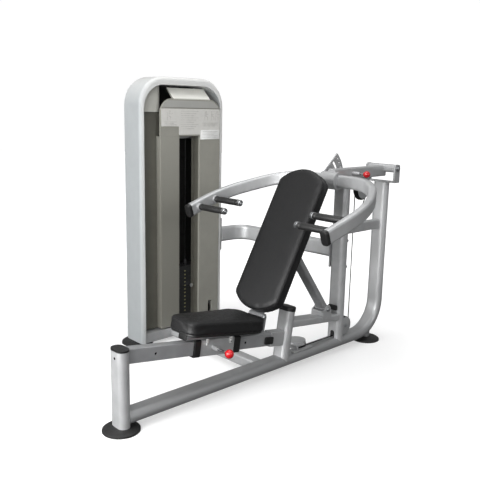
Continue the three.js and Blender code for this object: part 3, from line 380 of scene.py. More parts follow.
def loft(name, rings, caps=True, closed=False):
    """A mesh through rings with equal numbers of points. closed joins the last ring to the first."""
    mesh = bmesh.new()
    rows = [[mesh.verts.new(p) for p in ring] for ring in rings]
    count = len(rows[0])
    pairs = list(zip(rows, rows[1:])) + ([(rows[-1], rows[0])] if closed else [])
    for a, b in pairs:
        for i in range(count):
            j = (i + 1) % count
            mesh.faces.new((a[i], a[j], b[j], b[i]))
    if caps and not closed:
        mesh.faces.new(list(reversed(rows[0])))
        mesh.faces.new(rows[-1])
    bmesh.ops.recalc_face_normals(mesh, faces=mesh.faces)
    made = bpy.data.meshes.new(name)
    mesh.to_mesh(made)
    mesh.free()
    return made


def side_axes(axis):
    """Two unit vectors square to an axis."""
    axis = axis.normalized()
    first = axis.cross(UP if abs(axis.z) < 0.9 else BACKWARD).normalized()
    return first, axis.cross(first)


def turned(name, base, axis, profile, steps=28):
    """A turned mesh: profile holds (radius, distance along the axis) pairs in millimetres."""
    u, v = side_axes(axis)
    axis = axis.normalized()
    rings = []
    for radius, along in profile:
        ring = []
        for k in range(steps):
            a = 2 * math.pi * k / steps
            spoke = u * math.cos(a) + v * math.sin(a)
            ring.append(base + (axis * along + spoke * max(radius, 0.01)) / 1000)
        rings.append(ring)
    return loft(name, rings)


def joined(name, meshes):
    """One mesh out of several."""
    whole = bmesh.new()
    for m in meshes:
        whole.from_mesh(m)
        bpy.data.meshes.remove(m)
    made = bpy.data.meshes.new(name)
    whole.to_mesh(made)
    whole.free()
    return made


# Profiles of (radius, distance along the axis) pairs, for a screw with a thread of 1.
WASHER = [(0, 0), (1.75, 0), (1.75, 0.2), (1.6, 0.28), (0, 0.28)]
HEXAGON = [(0, 0.2), (1.2, 0.2), (1.2, 0.9), (0.98, 1.05), (0, 1.05)]
SOCKET_HEAD = [(0, 0), (1.3, 0), (1.3, 0.25), (1.1, 0.55), (0.6, 0.72), (0.5, 0.72), (0.45, 0.3), (0, 0.3)]


def scaled(profile, size):
    return [(radius * size, along * size) for radius, along in profile]


def bolt(name, base, axis, size):
    """Washer and chamfered hexagon head that stand on a face."""
    washer = turned(name + "_washer", base, axis, scaled(WASHER, size), 28)
    head = turned(name + "_head", base, axis, scaled(HEXAGON, size), 6)
    return joined(name, [washer, head])


def cap_screw(name, base, axis, size):
    """Low domed socket screw."""
    return turned(name, base, axis, scaled(SOCKET_HEAD, size), 24)


def rounded_outline(width, height, radius, steps=6):
    """Corner-rounded rectangle around 0, 0, as (x, y) pairs."""
    points = []
    for sx, sy, start in ((1, 1, 0), (-1, 1, 90), (-1, -1, 180), (1, -1, 270)):
        for i in range(steps + 1):
            a = math.radians(start + 90 * i / steps)
            points.append((sx * (width / 2 - radius) + radius * math.cos(a),
                           sy * (height / 2 - radius) + radius * math.sin(a)))
    return points


def block(name, centre, u, v, w, size, radius, edge=1.5):
    """A rounded plate or cap: size is (along u, along v, thickness along w); it grows from centre along w."""
    width, height, thick = size
    steps = ((edge, 0), (0, edge), (0, thick - edge), (edge * 0.3, thick - edge * 0.3), (edge, thick))
    rings = []
    for inset, level in steps:
        outline = rounded_outline(width - 2 * inset, height - 2 * inset, max(radius - inset, 0.3))
        rings.append([centre + (u * x + v * y + w * level) / 1000 for x, y in outline])
    return loft(name, rings)


def tube(name, points, radius, sides=8, closed=False):
    """Round tube along points in metres; radius in millimetres."""
    count = len(points)
    rings = []
    normal = None
    for i in range(count):
        before = points[(i - 1) % count] if closed or i else points[0]
        after = points[(i + 1) % count] if closed or i < count - 1 else points[-1]
        along = (after - before).normalized()
        if normal is None:
            normal, _ = side_axes(along)
        normal = (normal - along * normal.dot(along)).normalized()
        other = along.cross(normal)
        rings.append([points[i] + (normal * math.cos(2 * math.pi * k / sides)
                                   + other * math.sin(2 * math.pi * k / sides)) * radius / 1000
                      for k in range(sides)])
    return loft(name, rings, closed=closed)


# ---- cushions
def pad_outline():
    """Straight sides between one wide arc at the bottom and one over the top, as (across, up) pairs."""
    half = PAD["half"]
    corner_across, corner_along = 4, 14

    def arc(radius, centre, up):
        reach = math.asin((half - corner_across) / radius)
        angles = [reach * (1 - i / 12) * up for i in range(25)]
        points = [(radius * math.sin(a), centre + up * radius * math.cos(a)) for a in angles]
        return points, centre + up * (radius * math.cos(reach) - corner_along)

    bottom, low = arc(PAD["heel"], PAD["low"] + PAD["heel"], -1)
    top, high = arc(PAD["crown"], PAD["high"] - PAD["crown"], 1)
    levels = [low + (high - low) * i / 18 for i in range(19)]
    return bottom + [(half, z) for z in levels] + top + [(-half, z) for z in reversed(levels)]


def seat_outline():
    """Tapered seat outline with rounded corners, as (across, along) pairs."""
    c = math.cos(RAIL_TILT)
    front, back = SEAT["front"] / c, SEAT["back"] / c
    front_radius, back_radius = SEAT["corner_front"], SEAT["corner_back"]
    corners = [(-SEAT["half_front"], front, front_radius), (SEAT["half_front"], front, front_radius),
               (SEAT["half_back"], back, back_radius), (-SEAT["half_back"], back, back_radius)]
    points = []
    for i, (x, y, radius) in enumerate(corners):
        here = Vector((x, y))
        before = (Vector(corners[i - 1][:2]) - here).normalized()
        after = (Vector(corners[(i + 1) % 4][:2]) - here).normalized()
        half = math.acos(before.dot(after)) / 2
        centre = here + (before + after).normalized() * (radius / math.sin(half))
        first = here + before * (radius / math.tan(half)) - centre
        last = here + after * (radius / math.tan(half)) - centre
        turn = math.atan2(first.x * last.y - first.y * last.x, first.dot(last))
        for k in range(9):
            a = turn * k / 8
            points.append((centre.x + first.x * math.cos(a) - first.y * math.sin(a),
                           centre.y + first.x * math.sin(a) + first.y * math.cos(a)))
    filled = []
    for a, b in zip(points, points[1:] + points[:1]):
        dx, dy = b[0] - a[0], b[1] - a[1]
        pieces = max(1, round(math.hypot(dx, dy) / 30))
        filled += [(a[0] + dx * k / pieces, a[1] + dy * k / pieces) for k in range(pieces)]
    return filled


def inset_outline(outline, inset):
    """The outline drawn in toward its own middle by roughly inset millimetres."""
    xs, ys = [p[0] for p in outline], [p[1] for p in outline]
    cx, cy = (min(xs) + max(xs)) / 2, (min(ys) + max(ys)) / 2
    hx, hy = (max(xs) - min(xs)) / 2, (max(ys) - min(ys)) / 2
    kx, ky = 1 - inset / hx, 1 - inset / hy
    return [(cx + (x - cx) * kx, cy + (y - cy) * ky) for x, y in outline]


def cushion_mesh(name, outline, thick, place, crown, waist, seam):
    """A crowned closed form, drawn in at its waist.

    place(across, along, depth) gives a point; depth 0 is the face, and depth thick the board.
    """
    profile = [(4, thick), (0, thick - 3), (waist, thick * 0.66), (waist, thick * 0.4), (1.0, seam + 5),
               (0.6, seam), (1.6, seam - 3), (5, seam - 6.5), (12, seam - 9.0)]
    rings = [[place(x, y, depth) for x, y in inset_outline(outline, inset)] for inset, depth in profile]
    limit = min(max(p[0] for p in outline), 130.0)
    for inset in (24, 40, 60, 84, 110):
        if inset >= limit:
            break
        rise = crown * math.sin(math.pi / 2 * min(1.0, inset / limit)) ** 0.8
        depth = seam - 9.0 - rise
        rings.append([place(x, y, depth) for x, y in inset_outline(outline, inset)])
    return loft(name, rings)


def inflate(obj, pressure, cap, share, hold, voxel=0.0055, frames=20):
    """Swells a cushion with a short cloth simulation, and keeps a share of each point's move.

    hold(point) says which points stay still. cap limits a move, in metres.
    """
    start = obj.copy()
    start.data = obj.data.copy()
    bpy.context.scene.collection.objects.link(start)
    remesh = start.modifiers.new("remesh", "REMESH")
    remesh.mode = "VOXEL"
    remesh.voxel_size = voxel
    bpy.context.view_layer.update()
    base = bpy.data.meshes.new_from_object(start.evaluated_get(bpy.context.evaluated_depsgraph_get()))
    start.modifiers.clear()
    start.data = base
    before = [v.co.copy() for v in base.vertices]
    group = start.vertex_groups.new(name="held")
    group.add([i for i, p in enumerate(before) if hold(p)], 1.0, "REPLACE")
    cloth = start.modifiers.new("cloth", "CLOTH")
    cloth.settings.quality = 5
    cloth.settings.mass = 0.3
    cloth.settings.tension_stiffness = 20
    cloth.settings.compression_stiffness = 20
    cloth.settings.bending_stiffness = 4
    cloth.settings.use_pressure = True
    cloth.settings.uniform_pressure_force = pressure
    cloth.settings.effector_weights.gravity = 0
    cloth.settings.vertex_group_mass = "held"
    cloth.point_cache.frame_start = 1
    cloth.point_cache.frame_end = frames
    scene = bpy.context.scene
    for step in range(1, frames + 1):
        scene.frame_set(step)
    done = bpy.data.meshes.new_from_object(start.evaluated_get(bpy.context.evaluated_depsgraph_get()))
    for vertex, rest in zip(done.vertices, before):
        move = vertex.co - rest
        vertex.co = rest + move * share * min(1.0, cap / max(move.length, 1e-9))
    scene.frame_set(1)
    bpy.data.objects.remove(start)
    return done


def seam_ring(surface, outline, place, inset, depth, spacing=6.0):
    """Evenly spaced points of a seam line, pulled on to the cushion's surface."""
    loop = [place(x, y, depth) for x, y in inset_outline(outline, inset)]
    found = []
    for a, b in zip(loop, loop[1:] + loop[:1]):
        pieces = max(1, round((b - a).length * 1000 / spacing))
        for k in range(pieces):
            point = a.lerp(b, k / pieces)
            hit = surface.find_nearest(point)
            found.append((hit[0], hit[1]))
    return found


def stitches(name, ring, radius=0.45, length=3.6):
    """Short threads along a seam, one for every other point of the ring."""
    parts = []
    for i in range(0, len(ring) - 1, 2):
        here, normal = ring[i]
        along = ring[i + 1][0] - here
        if along.length < 1e-6:
            continue
        along.normalize()
        half = along * length / 2000
        lift = normal * 0.0003
        thread = [here - half, here - half * 0.6 + lift, here + half * 0.6 + lift, here + half]
        parts.append(tube(f"{name}_{i}", thread, radius, 5))
    return joined(name, parts)


def cushion(name, node, body, outline, thick, place, crown, waist, seam, face_dir):
    """Builds, inflates and sews one cushion, and hides the plain CAD block it stands for."""
    mesh = cushion_mesh(name, outline, thick, place, crown, waist, seam)
    obj = bpy.data.objects.new(name, mesh)
    bpy.context.scene.collection.objects.link(obj)
    board = place(0, outline[0][1], thick)
    obj.data = inflate(obj, pressure=4.0, cap=0.006, share=0.35,
                       hold=lambda p: (p - board).dot(face_dir) < 0.006)
    smooth = obj.modifiers.new("smooth", "SMOOTH")
    smooth.factor = 0.5
    smooth.iterations = 3
    divide = obj.modifiers.new("divide", "SUBSURF")
    divide.levels = divide.render_levels = 1
    obj.data.materials.clear()
    obj.data.materials.append(VINYL)
    obj.data.polygons.foreach_set("use_smooth", [True] * len(obj.data.polygons))
    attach(obj, body)
    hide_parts(node)
    bpy.context.view_layer.update()
    shape = obj.evaluated_get(bpy.context.evaluated_depsgraph_get())
    surface = BVHTree.FromObject(shape, bpy.context.evaluated_depsgraph_get())
    welt = [point for point, _ in seam_ring(surface, outline, place, 0.8, seam)]
    welt_name = name + "_welt"
    piece(welt_name, tube(welt_name, welt, 1.5, 8, closed=True), VINYL, body, smooth=0)
    for label, inset, depth in (("face", 7, seam - 8), ("side", 0.6, seam + 7)):
        ring = seam_ring(surface, outline, place, inset, depth, spacing=3.2)
        stitch_name = f"{name}_stitch_{label}"
        piece(stitch_name, stitches(stitch_name, ring), THREAD, body, smooth=0)


def pad_place(across, up, depth):
    """A point of the back cushion, depth millimetres under its face."""
    return on_pad(up, across, depth)


def seat_place(across, along, depth):
    """A point of the seat cushion, depth millimetres under its face."""
    return on_rail(along, across, SEAT["base"] + SEAT["thick"] - depth)


cushion("back_cushion_soft", "back_cushion", "back_pad", pad_outline(), PAD["thick"], pad_place,
        crown=3.0, waist=3.0, seam=11.0, face_dir=-PAD_BACK)
cushion("seat_cushion_soft", "seat_cushion", "seat_carriage", seat_outline(), SEAT["thick"], seat_place,
        crown=7.0, waist=2.5, seam=11.0, face_dir=RAIL_UP)


# ---- caps, collars and knobs
def post_cap():
    """Domed cap that grips the leaning post; grow is how far a ring stands out from the tube."""
    top = at(LEAN["x"], 0, LEAN["z"]) + RAIL_UP * LEAN["length"] / 1000
    wide, deep = LEAN["wide"], LEAN["deep"]
    skirt = ((0.6, -20), (2.6, -19), (3.0, -2), (2.6, 2))
    dome = ((0, 5.2), (-8, 7.4), (-18, 8.4), (-27, 8.6))
    rings = []
    for grow, level in skirt + dome:
        outline = rounded_outline(wide + 2 * grow, deep + 2 * grow, wide / 2 + grow, 8)
        rings.append([top + (RAIL_ALONG * x + ACROSS * y + RAIL_UP * level) / 1000 for x, y in outline])
    piece("leaning_post_cap", loft("leaning_post_cap", rings), NYLON, "frame")


def grip_fittings(label, side, grip):
    """Bright end ring with its screw, ribbed rubber sleeve, and the collar at the arm."""
    x, z = GRIPS[grip]
    inward = Vector((0, -side, 0))
    free = at(x, side * GRIP_FREE_END, z)
    r = GRIP_RADIUS
    ring = [(r + 0.6, -14), (r + 1.8, -13), (r + 2.0, -3), (r + 1.2, 1.6), (r - 2, 4.2), (r - 6, 4.8),
            (r - 7, 3.2), (0, 3.0)]
    name = f"grip_end_{label}_{grip}"
    piece(name, turned(name, free, inward, ring, 36), CHROME, "yoke")
    name = f"grip_screw_{label}_{grip}"
    piece(name, cap_screw(name, free + inward * 0.003, inward, 5), ZINC, "yoke")
    rubber = [(r - 1, -204), (r + 0.5, -203), (r + 1.6, -198), (r + 1.6, -190), (r + 0.4, -188),
              (r + 0.4, -185), (r + 1.0, -183), (r + 1.4, -110), (r + 1.0, -36), (r + 0.4, -34),
              (r + 0.4, -31), (r + 1.6, -29), (r + 1.8, -22), (r + 0.6, -18), (r - 1, -18)]
    name = f"grip_sleeve_{label}_{grip}"
    piece(name, turned(name, free, inward, rubber, 32), GRIP, "yoke", smooth=55)
    collar = [(r - 1, -8), (r + 4, -8), (r + 4.6, -2), (r + 3.2, 4), (r - 1, 4.6)]
    name = f"grip_collar_{label}_{grip}"
    foot = at(x, side * GRIP_ARM_END, z)
    piece(name, turned(name, foot, inward, collar, 32), SILVER, "yoke")


def arm_ends():
    """Rounded cap on the tip of each press arm, and the fittings of its two grips."""
    for side, label in ((-1, "near"), (1, "far")):
        tip, before = (Vector((x, y * side, z)) for x, y, z in (ARM_END["tip"], ARM_END["before"]))
        out = (tip - before).normalized()
        level = UP.cross(out).normalized()
        upright = out.cross(level)
        base = at(*tip)
        rings = []
        for grow, depth in ((0.4, -12), (1.2, -11.5), (1.4, 3), (0.4, 6.5), (-4, 8.2), (-14, 9.0)):
            outline = rounded_outline(ARM_END["wide"] + 2 * grow, ARM_END["tall"] + 2 * grow,
                                      ARM_END["corner"] + grow, 8)
            rings.append([base + (level * x + upright * y + out * depth) / 1000 for x, y in outline])
        name = f"arm_cap_{label}"
        piece(name, loft(name, rings), NYLON, "yoke")
        for grip in GRIPS:
            grip_fittings(label, side, grip)


def knobs():
    """Red ball knobs over the balls of the two pull pins, with a chrome ferrule."""
    seat_x, seat_y, seat_radius = PIN_SEAT
    *arm_centre, arm_radius = PIN_ARM
    balls = (("seat_knob", on_rail(seat_x / math.cos(RAIL_TILT), seat_y, 0), seat_radius, "seat_pin"),
             ("arm_knob", at(*arm_centre), arm_radius, "arm_pin"))
    cover, steps = 0.8, 15
    for name, centre, r, body in balls:
        profile = [(0, -r - cover)]
        for k in range(1, steps):
            a = -math.pi / 2 + math.pi * k / steps
            profile.append(((r + cover) * math.cos(a), (r + cover) * math.sin(a)))
        profile += [(8.5, r + 2.5), (0, r + 2.5)]
        piece(name, turned(name, centre, ACROSS, profile, 36), RED, body, smooth=50)
        ferrule = turned(name + "_ferrule", centre + ACROSS * (r + 1.5) / 1000, ACROSS,
                         [(6.2, 0), (8.4, 0.5), (8.4, 8), (7.2, 10), (6.2, 10)], 28)
        piece(name + "_ferrule", ferrule, CHROME, body)


post_cap()
arm_ends()
knobs()


# ---- bolts, washers and pulley covers
def pivot_bolts():
    """A bolt on both sides of each pivot, at half the width of the bracket or lugs there."""
    bracket, strut_lugs, pad_lugs = 109, 44, 50
    for side, label in ((-1, "near"), (1, "far")):
        out = ACROSS * side
        spots = {
            "lever_pivot": (at(LEVER_PIVOT[0], side * bracket, LEVER_PIVOT[1]), 11, "frame"),
            "strut_foot": (at(STRUT_FOOT[0], side * strut_lugs, STRUT_FOOT[1]), 9, "frame"),
            "strut_top": (on_pad(STRUT_TOP[0], side * strut_lugs, STRUT_TOP[1]), 9, "back_pad"),
            "pad_pivot": (on_pad(PAD_PIVOT[0], side * pad_lugs, PAD_PIVOT[1]), 9, "seat_carriage"),
        }
        for spot, (base, size, body) in spots.items():
            name = f"bolt_{spot}_{label}"
            piece(name, bolt(name, base, out, size), ZINC, body)


def upright_bolts():
    """Bolts on the mid upright: two on its rounded corner, and two on the upper brace's flange."""
    out = Vector((0.73, -0.683, 0))
    sink = 0.2
    for level in (693, 535):
        name = f"brace_bolt_{level}"
        base = at(UPRIGHT["x"], -20, level) + out * (UPRIGHT["corner"] - sink) / 1000
        piece(name, bolt(name, base, out, 5.5), ZINC, "frame")
    for level, label in ((668, "high"), (560, "low")):
        name = f"flange_bolt_{label}"
        piece(name, bolt(name, at(1542, 58, level), ACROSS, 7), ZINC, "frame")


def hole_shades():
    """Eyelet in the front post, and the plugged holes in both sides of the seat rail, near-black as painted
    shade inside the holes.
    """
    eyelet = [(0, 0), (6.4, 0), (6.4, 0.5), (5.4, 0.9), (4.6, 0.5), (0, 0.5)]
    hole = turned("post_hole", at(-30.6, -3.4, 354), -BACKWARD, eyelet, 24)
    piece("post_hole", hole, HOLE_SHADE, "frame")
    plug = [(0, -12), (6.5, -12), (6.5, 2), (5.2, 2), (5.2, -6), (0, -6)]
    for along in (177, 749):
        for side, label in ((-1, "near"), (1, "far")):
            name = f"rail_hole_{along}_{label}"
            spot = on_rail(along / math.cos(RAIL_TILT), side * 20, 0)
            piece(name, turned(name, spot, ACROSS * side, plug, 20), HOLE_SHADE, "frame")


def pulley_covers():
    """Side plates and bolts of two pulleys. The low pulley's plates are cut flat beside the mid upright."""
    x, z = LEVER_PULLEY
    low_x, low_z = LOW_PULLEY
    dish = [(0, 0), (55, 0), (57, 1.2), (57, 3.2), (55, 4.6), (20, 5.4), (17, 7), (0, 7)]
    low_radius, cut_x, steps = 52, 1567, 40
    turns = [2 * math.pi * k / steps for k in range(steps)]
    for side, label in ((-1, "near"), (1, "far")):
        out = ACROSS * side
        name = f"lever_pulley_cover_{label}"
        plate = turned(name, at(x, side * 15.4, z), out, dish, steps)
        piece(name, plate, SILVER, "lever")
        name = f"lever_pulley_bolt_{label}"
        piece(name, bolt(name, at(x, side * 22, z), out, 7), ZINC, "lever")
        rings = []
        for inset, level in ((1.5, 15.4), (0, 16.6), (0, 19), (1.5, 20.2)):
            r = low_radius - inset
            rim = [(low_x + r * math.cos(a), low_z + r * math.sin(a)) for a in turns]
            rings.append([at(max(rim_x, cut_x + inset), side * level, rim_z) for rim_x, rim_z in rim])
        name = f"low_pulley_cover_{label}"
        piece(name, loft(name, rings), SILVER, "frame")
        name = f"low_pulley_bolt_{label}"
        piece(name, bolt(name, at(low_x, side * 20, low_z), out, 7), ZINC, "frame")


def upright_fittings():
    """Rubber stop on the mid upright, and the rim and back of the slot that the cable runs through,
    near-black as painted shade inside it.
    """
    front = UPRIGHT["front"]
    stop = block("strut_stop", at(front, 0, 284), ACROSS, UP, -BACKWARD, (62, 30, 14), 6, 2)
    piece("strut_stop", stop, RUBBER, "frame")
    liner = []
    for inset, depth in ((0.4, -0.4), (0.4, 7), (3.0, 7), (3.0, -0.1)):
        outline = rounded_outline(28 - 2 * inset, 64 - 2 * inset, 13 - inset, 6)
        liner.append([at(front + depth, across, 104 + up) for across, up in outline])
    piece("cable_slot_rim", loft("cable_slot_rim", liner, closed=True), HOLE_SHADE, "frame")
    # A dark plate inside the upright behind the slot: painted shade.
    shadow = block("cable_slot_painted_shade", at(front + 25, 0, 112), ACROSS, UP, -BACKWARD, (27, 38, 3), 8, 0.6)
    piece("cable_slot_painted_shade", shadow, HOLE_SHADE, "frame")


def seat_fittings():
    """Screwed white tabs beside the carriage, the rail's stop, and the seat's base cover and tube cap."""
    for x in (474, 632):
        name = f"seat_tab_{x}"
        spot = on_rail(x / math.cos(RAIL_TILT), -33.4, 31)
        tab = block(name, spot, RAIL_ALONG, RAIL_UP, -ACROSS, (16, 34, 5), 5, 1.2)
        piece(name, tab, WHITE, "seat_carriage")
        screw = cap_screw(name + "_screw", spot - ACROSS * 0.005 - RAIL_UP * 0.008, -ACROSS, 4)
        piece(name + "_screw", screw, ZINC, "seat_carriage")
    stop = block("rail_stop", on_rail(930, -25.2, -2), RAIL_ALONG, RAIL_UP, -ACROSS, (62, 40, 12), 8, 2)
    piece("rail_stop", stop, NYLON, "frame")
    rim = [[on_rail(y, x, up) for x, y in inset_outline(seat_outline(), inset)]
           for inset, up in ((11, 76.6), (7, 77.4), (6, 84), (7, 88.8), (10, 89.2))]
    piece("seat_base_cover", loft("seat_base_cover", rim), NYLON, "seat_carriage", smooth=30)
    cap = block("seat_tube_cap", on_rail(349.6, 0, 61.3), ACROSS, RAIL_UP, -RAIL_ALONG, (60, 34, 4), 6, 1.2)
    piece("seat_tube_cap", cap, NYLON, "seat_carriage")


pivot_bolts()
upright_bolts()
hole_shades()
pulley_covers()
upright_fittings()
seat_fittings()


# ---- weight tower
def visor_plate():
    """Pale plate on the slope of the cowl."""
    left, right, low, high = 892, 1175, 1, 96
    lean = Vector((0, 70, 68)).normalized()
    outward = Vector((0, -lean.z, lean.y))
    plate = []
    for inset, level in ((0.8, 0.2), (0, 0.9), (0, 2.2), (0.8, 3.0)):
        corners = [(left + inset, low + inset), (right - inset, low + inset),
                   (right - inset, high - inset), (left + inset, high - inset)]
        plate.append([at(x, PANEL_FRONT, 1494) + (lean * s + outward * level) / 1000 for x, s in corners])
    piece("visor_plate", loft("visor_plate", plate), VISOR, "frame", smooth=30)


def header_band():
    """Plain raised band over the placard, with sloping ends."""
    outline = [(809, 1446), (1240, 1446), (1232, 1462), (1208, 1480), (1180, 1488), (842, 1488), (822, 1478),
               (811, 1462)]
    cx, cz, half_wide, half_high = 1024, 1467, 215, 21
    band = []
    for inset, level in ((0.8, 2.0), (0, 2.8), (0.8, 3.4)):
        kx, kz = 1 - inset / half_wide, 1 - inset / half_high
        band.append([at(cx + (x - cx) * kx, PANEL_FRONT - level, cz + (z - cz) * kz) for x, z in outline])
    piece("header_band", loft("header_band", band), BAND, "frame", smooth=30)


def placard_label():
    """White label on the placard."""
    label = block("placard_label", at(1175, 777.6, 1285), BACKWARD, UP, -ACROSS, (152, 58, 0.5), 3, 0.15)
    piece("placard_label", label, LABEL, "frame")


def rear_cover():
    """Screwed cover plate with three pressed ribs on the back of the tower."""
    middle, level, wide, high, thick = 969, 833.5, 522, 1427, 2.6
    sheet = BACK_PANEL_REAR + 0.2
    face = BACK_PANEL_REAR + 2.8
    cover = block("rear_cover", at(middle, sheet, level), -BACKWARD, UP, ACROSS, (wide, high, thick), 60, 1.0)
    parts = [cover]
    for k in (-1, 0, 1):
        spot = at(middle, face - 0.4, level + k * 330)
        parts.append(block(f"rib_{k}", spot, -BACKWARD, UP, ACROSS, (wide - 150, 30, 4.4), 15, 2.2))
    piece("rear_cover", joined("rear_cover", parts), RECESS, "frame", smooth=30)
    screws = []
    for side in (-1, 1):
        for k in (-2, -1, 0, 1, 2):
            spot = at(middle + side * (wide / 2 - 18), face - 0.2, level + k * 320)
            screws.append(cap_screw(f"rear_screw_{side}_{k}", spot, ACROSS, 5))
    piece("rear_cover_screws", joined("rear_cover_screws", screws), ZINC, "frame")


def slot_liner():
    """Dark liner that closes the right side of the selector slot down to the weights."""
    low, high = 98, 1276
    plan = [(1093.6, 795), (1093.6, 836.6), (1074, 836.6), (1074, 838.4), (1097, 838.4), (1097, 837.0),
            (1093.9, 837.0), (1093.9, 795)]
    rings = [[at(x, y, z) for x, y in plan] for z in (low, high)]
    piece("slot_liner", loft("slot_liner", rings), RECESS, "frame", smooth=30)


def strokes(name, lines, width, level):
    """Flat printed lines at the Y value level; each line is a list of (x, z) points."""
    parts = []
    for n, line in enumerate(lines):
        for k, (a, b) in enumerate(zip(line, line[1:])):
            start, end = Vector(a), Vector(b)
            along = (end - start).normalized()
            square = Vector((-along.y, along.x)) * width / 2
            corners = [start - square, end - square, end + square, start + square]
            rings = [[at(p.x, level - depth, p.y) for p in corners] for depth in (0, 0.25)]
            parts.append(loft(f"{name}_{n}_{k}", rings))
    return joined(name, parts)


def figure(cx, lean):
    """Lines of one seated figure: head, body with a leg, arm, and the seat's back behind it."""
    turns = [2 * math.pi * k / 8 for k in range(9)]
    return [[(cx + 4 * math.cos(a), 1424 + 4 * math.sin(a)) for a in turns],
            [(cx, 1419), (cx + lean, 1396), (cx + lean + 12, 1394), (cx + lean + 13, 1374)],
            [(cx + lean / 3, 1412), (cx + 14, 1408), (cx + 22, 1414)],
            [(cx + lean - 6, 1420), (cx + lean - 9, 1392), (cx + lean - 9, 1372)]]


def placard_print():
    """Generic exercise figures and ruled lines, with no lettering."""
    lines = []
    for cx, lean in ((862, -8), (1140, 0), (1186, 6), (1230, -4)):
        lines += figure(cx, lean)
    for k in range(9):
        z = 1426 - 13 * k
        lines.append([(944, z), (1080 - 18 * (k % 3), z)])
    for k in range(4):
        lines.append([(822, 1362 - 8 * k), (912 - 20 * (k % 2), 1362 - 8 * k)])
        lines.append([(1112, 1356 - 6 * k), (1238 - 24 * (k % 2), 1356 - 6 * k)])
    print_mesh = strokes("placard_print", lines, 1.5, 777.4)
    piece("placard_print", print_mesh, INK, "frame", smooth=0)
    label_lines = [[(1112, 1304 - 9 * k), (1236 - 16 * (k % 3), 1304 - 9 * k)] for k in range(5)]
    print_mesh = strokes("label_print", label_lines, 1.4, 777.0)
    piece("label_print", print_mesh, INK, "frame", smooth=0)


def stack_tags():
    """A plain pale tag on the front of each plate."""
    lower, count = STACK["lower"], STACK["count"]
    for body, first, last in (("frame", 0, lower), ("lifted_weights", lower, count)):
        parts = []
        for k in range(first, last):
            spot = at(STACK["x"] - 34, STACK["front"], STACK["bottom"] + STACK["plate"] * (k + 0.5))
            parts.append(block(f"tag_{k}", spot, BACKWARD, UP, -ACROSS, (13, 9, 0.6), 2, 0.2))
        name = f"stack_tags_{body}"
        piece(name, joined(name, parts), TAG, body)


visor_plate()
header_band()
placard_label()
rear_cover()
slot_liner()
placard_print()
stack_tags()


# ---- floor, light and camera
def stage():
    """A pale floor that takes soft shadows, and a white wall round it; neither lights the machine."""
    pale = Finish("pale_floor").set(Roughness=0.9, Emission_Color=(1, 1, 1, 1))
    pale.tones(pale.noise(3, 3), (0.60, 0.60, 0.60, 1), (0.62, 0.62, 0.62, 1))
    reach = pale.tree.nodes.new("ShaderNodeVectorMath")
    reach.operation = "LENGTH"
    glow_level = pale.tree.nodes.new("ShaderNodeMapRange")
    for socket, value in (("From Min", 0.9), ("From Max", 2.6), ("To Min", 0.42), ("To Max", 1.0)):
        glow_level.inputs[socket].default_value = value
    pale.tree.links.new(pale.coords, reach.inputs[0])
    pale.tree.links.new(reach.outputs["Value"], glow_level.inputs["Value"])
    pale.tree.links.new(glow_level.outputs["Result"], pale.surface.inputs["Emission Strength"])
    size, wall_radius, wall_sides = 20, 18.2, 48
    flat = bpy.data.meshes.new("floor")
    corners = [(-size, -size, 0), (size, -size, 0), (size, size, 0), (-size, size, 0)]
    flat.from_pydata(corners, [], [(0, 1, 2, 3)])
    flat.materials.append(pale.material)

    glow = Finish("white_wall").set(Roughness=1.0, Emission_Color=(1, 1, 1, 1), Emission_Strength=1.0)
    glow.tones(glow.noise(2, 2), (0.02, 0.02, 0.02, 1), (0.03, 0.03, 0.03, 1))
    turns = [2 * math.pi * k / wall_sides for k in range(wall_sides)]
    ring = [(wall_radius * math.cos(a), wall_radius * math.sin(a)) for a in turns]
    wall = loft("wall", [[Vector((x, y, z)) for x, y in ring] for z in (-0.5, 16)], caps=False)
    wall.materials.append(glow.material)
    for name, mesh in (("floor", flat), ("wall", wall)):
        obj = bpy.data.objects.new(name, mesh)
        bpy.context.scene.collection.objects.link(obj)
        obj.visible_diffuse = False
        obj.visible_glossy = False
        obj.visible_shadow = False


def studio_light():
    """Dim light from all round: weak from below, strongest from well above the horizon."""
    world = bpy.data.worlds.new("studio")
    bpy.context.scene.world = world
    world.use_nodes = True
    tree = world.node_tree
    coords = tree.nodes.new("ShaderNodeTexCoord")
    split = tree.nodes.new("ShaderNodeSeparateXYZ")
    ramp = tree.nodes.new("ShaderNodeValToRGB")
    level = tree.nodes.new("ShaderNodeMapRange")
    level.inputs["From Min"].default_value = -1
    level.inputs["From Max"].default_value = 1
    stops = ramp.color_ramp.elements
    stops[0].position, stops[0].color = 0.0, (0.10, 0.10, 0.10, 1)
    stops[1].position, stops[1].color = 1.0, (0.32, 0.32, 0.32, 1)
    middle = stops.new(0.5)
    middle.color = (0.17, 0.17, 0.17, 1)
    high = stops.new(0.72)
    high.color = (0.38, 0.38, 0.38, 1)
    tree.links.new(coords.outputs["Generated"], split.inputs["Vector"])
    tree.links.new(split.outputs["Z"], level.inputs["Value"])
    tree.links.new(level.outputs["Result"], ramp.inputs["Fac"])
    tree.links.new(ramp.outputs["Color"], tree.nodes["Background"].inputs["Color"])
    tree.nodes["Background"].inputs["Strength"].default_value = 1.0


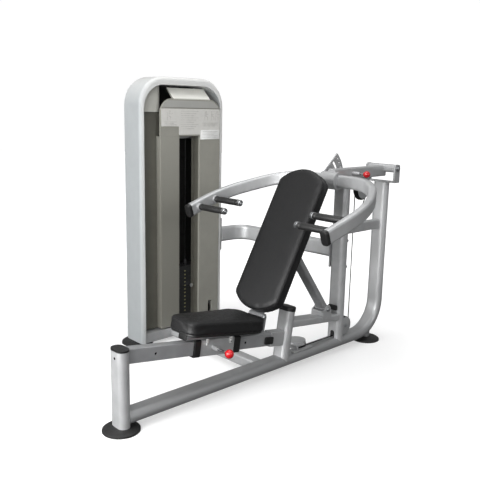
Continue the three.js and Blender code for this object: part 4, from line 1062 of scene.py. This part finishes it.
def lamp(name, place, target, size, power, only=None, without=None, tint=(1, 1, 1)):
    """A soft box. only names the one CAD node that it lights, and without the one that it leaves unlit."""
    data = bpy.data.lights.new(name, "AREA")
    data.color = tint
    data.shape = "RECTANGLE"
    data.size, data.size_y = size
    data.energy = power
    obj = bpy.data.objects.new(name, data)
    bpy.context.scene.collection.objects.link(obj)
    obj.location = at(*place)
    obj.rotation_euler = (at(*target) - obj.location).to_track_quat("-Z", "Y").to_euler()
    if only or without:
        lit = bpy.data.collections.new(name + "_receivers")
        lit.objects.link(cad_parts[only or without])
        obj.light_linking.receiver_collection = lit
        lit.collection_objects[0].light_linking.link_state = "INCLUDE" if only else "EXCLUDE"


def camera():
    """Standing eye height, in front and to the open side of the machine, looking a little down."""
    yaw, pitch, roll = math.radians(46.79), math.radians(11.50), math.radians(1.12)
    forward = Vector((math.cos(yaw) * math.cos(pitch), math.sin(yaw) * math.cos(pitch), -math.sin(pitch)))
    right = Vector((math.sin(yaw), -math.cos(yaw), 0))
    up = right.cross(forward)
    rolled_right = right * math.cos(roll) + up * math.sin(roll)
    rolled_up = up * math.cos(roll) - right * math.sin(roll)
    data = bpy.data.cameras.new("camera")
    data.sensor_width = 36
    data.lens = 48.04
    data.clip_end = 200  # metres
    obj = bpy.data.objects.new("camera", data)
    bpy.context.scene.collection.objects.link(obj)
    turn = Matrix((rolled_right, rolled_up, -forward)).transposed().to_4x4()
    obj.matrix_world = Matrix.Translation(at(-1458.58, -2317.88, 1441.40)) @ turn
    bpy.context.scene.camera = obj


stage()
studio_light()
# Each lamp: its place, the point it faces, its size in metres, and its power in watts.
KEY = ((-2700, 0, 1400), (900, 100, 500), (3.8, 2.6))
SIDE = ((700, -4400, 2400), (900, 200, 600), (3.0, 2.4))
lamp("key", *KEY, 255, without="tower_arch")
lamp("arch_key", *KEY, 78, only="tower_arch", tint=(0.84, 0.93, 1))
lamp("arch_front", *SIDE, 84, only="tower_arch")
lamp("strip", (-2300, -2700, 1700), (900, 100, 600), (0.5, 2.6), 27)
lamp("fill", *SIDE, 48)
lamp("top", (900, 300, 3600), (900, 300, 0), (3.5, 2.5), 56)
camera()
bpy.context.scene.view_settings.view_transform = "Standard"
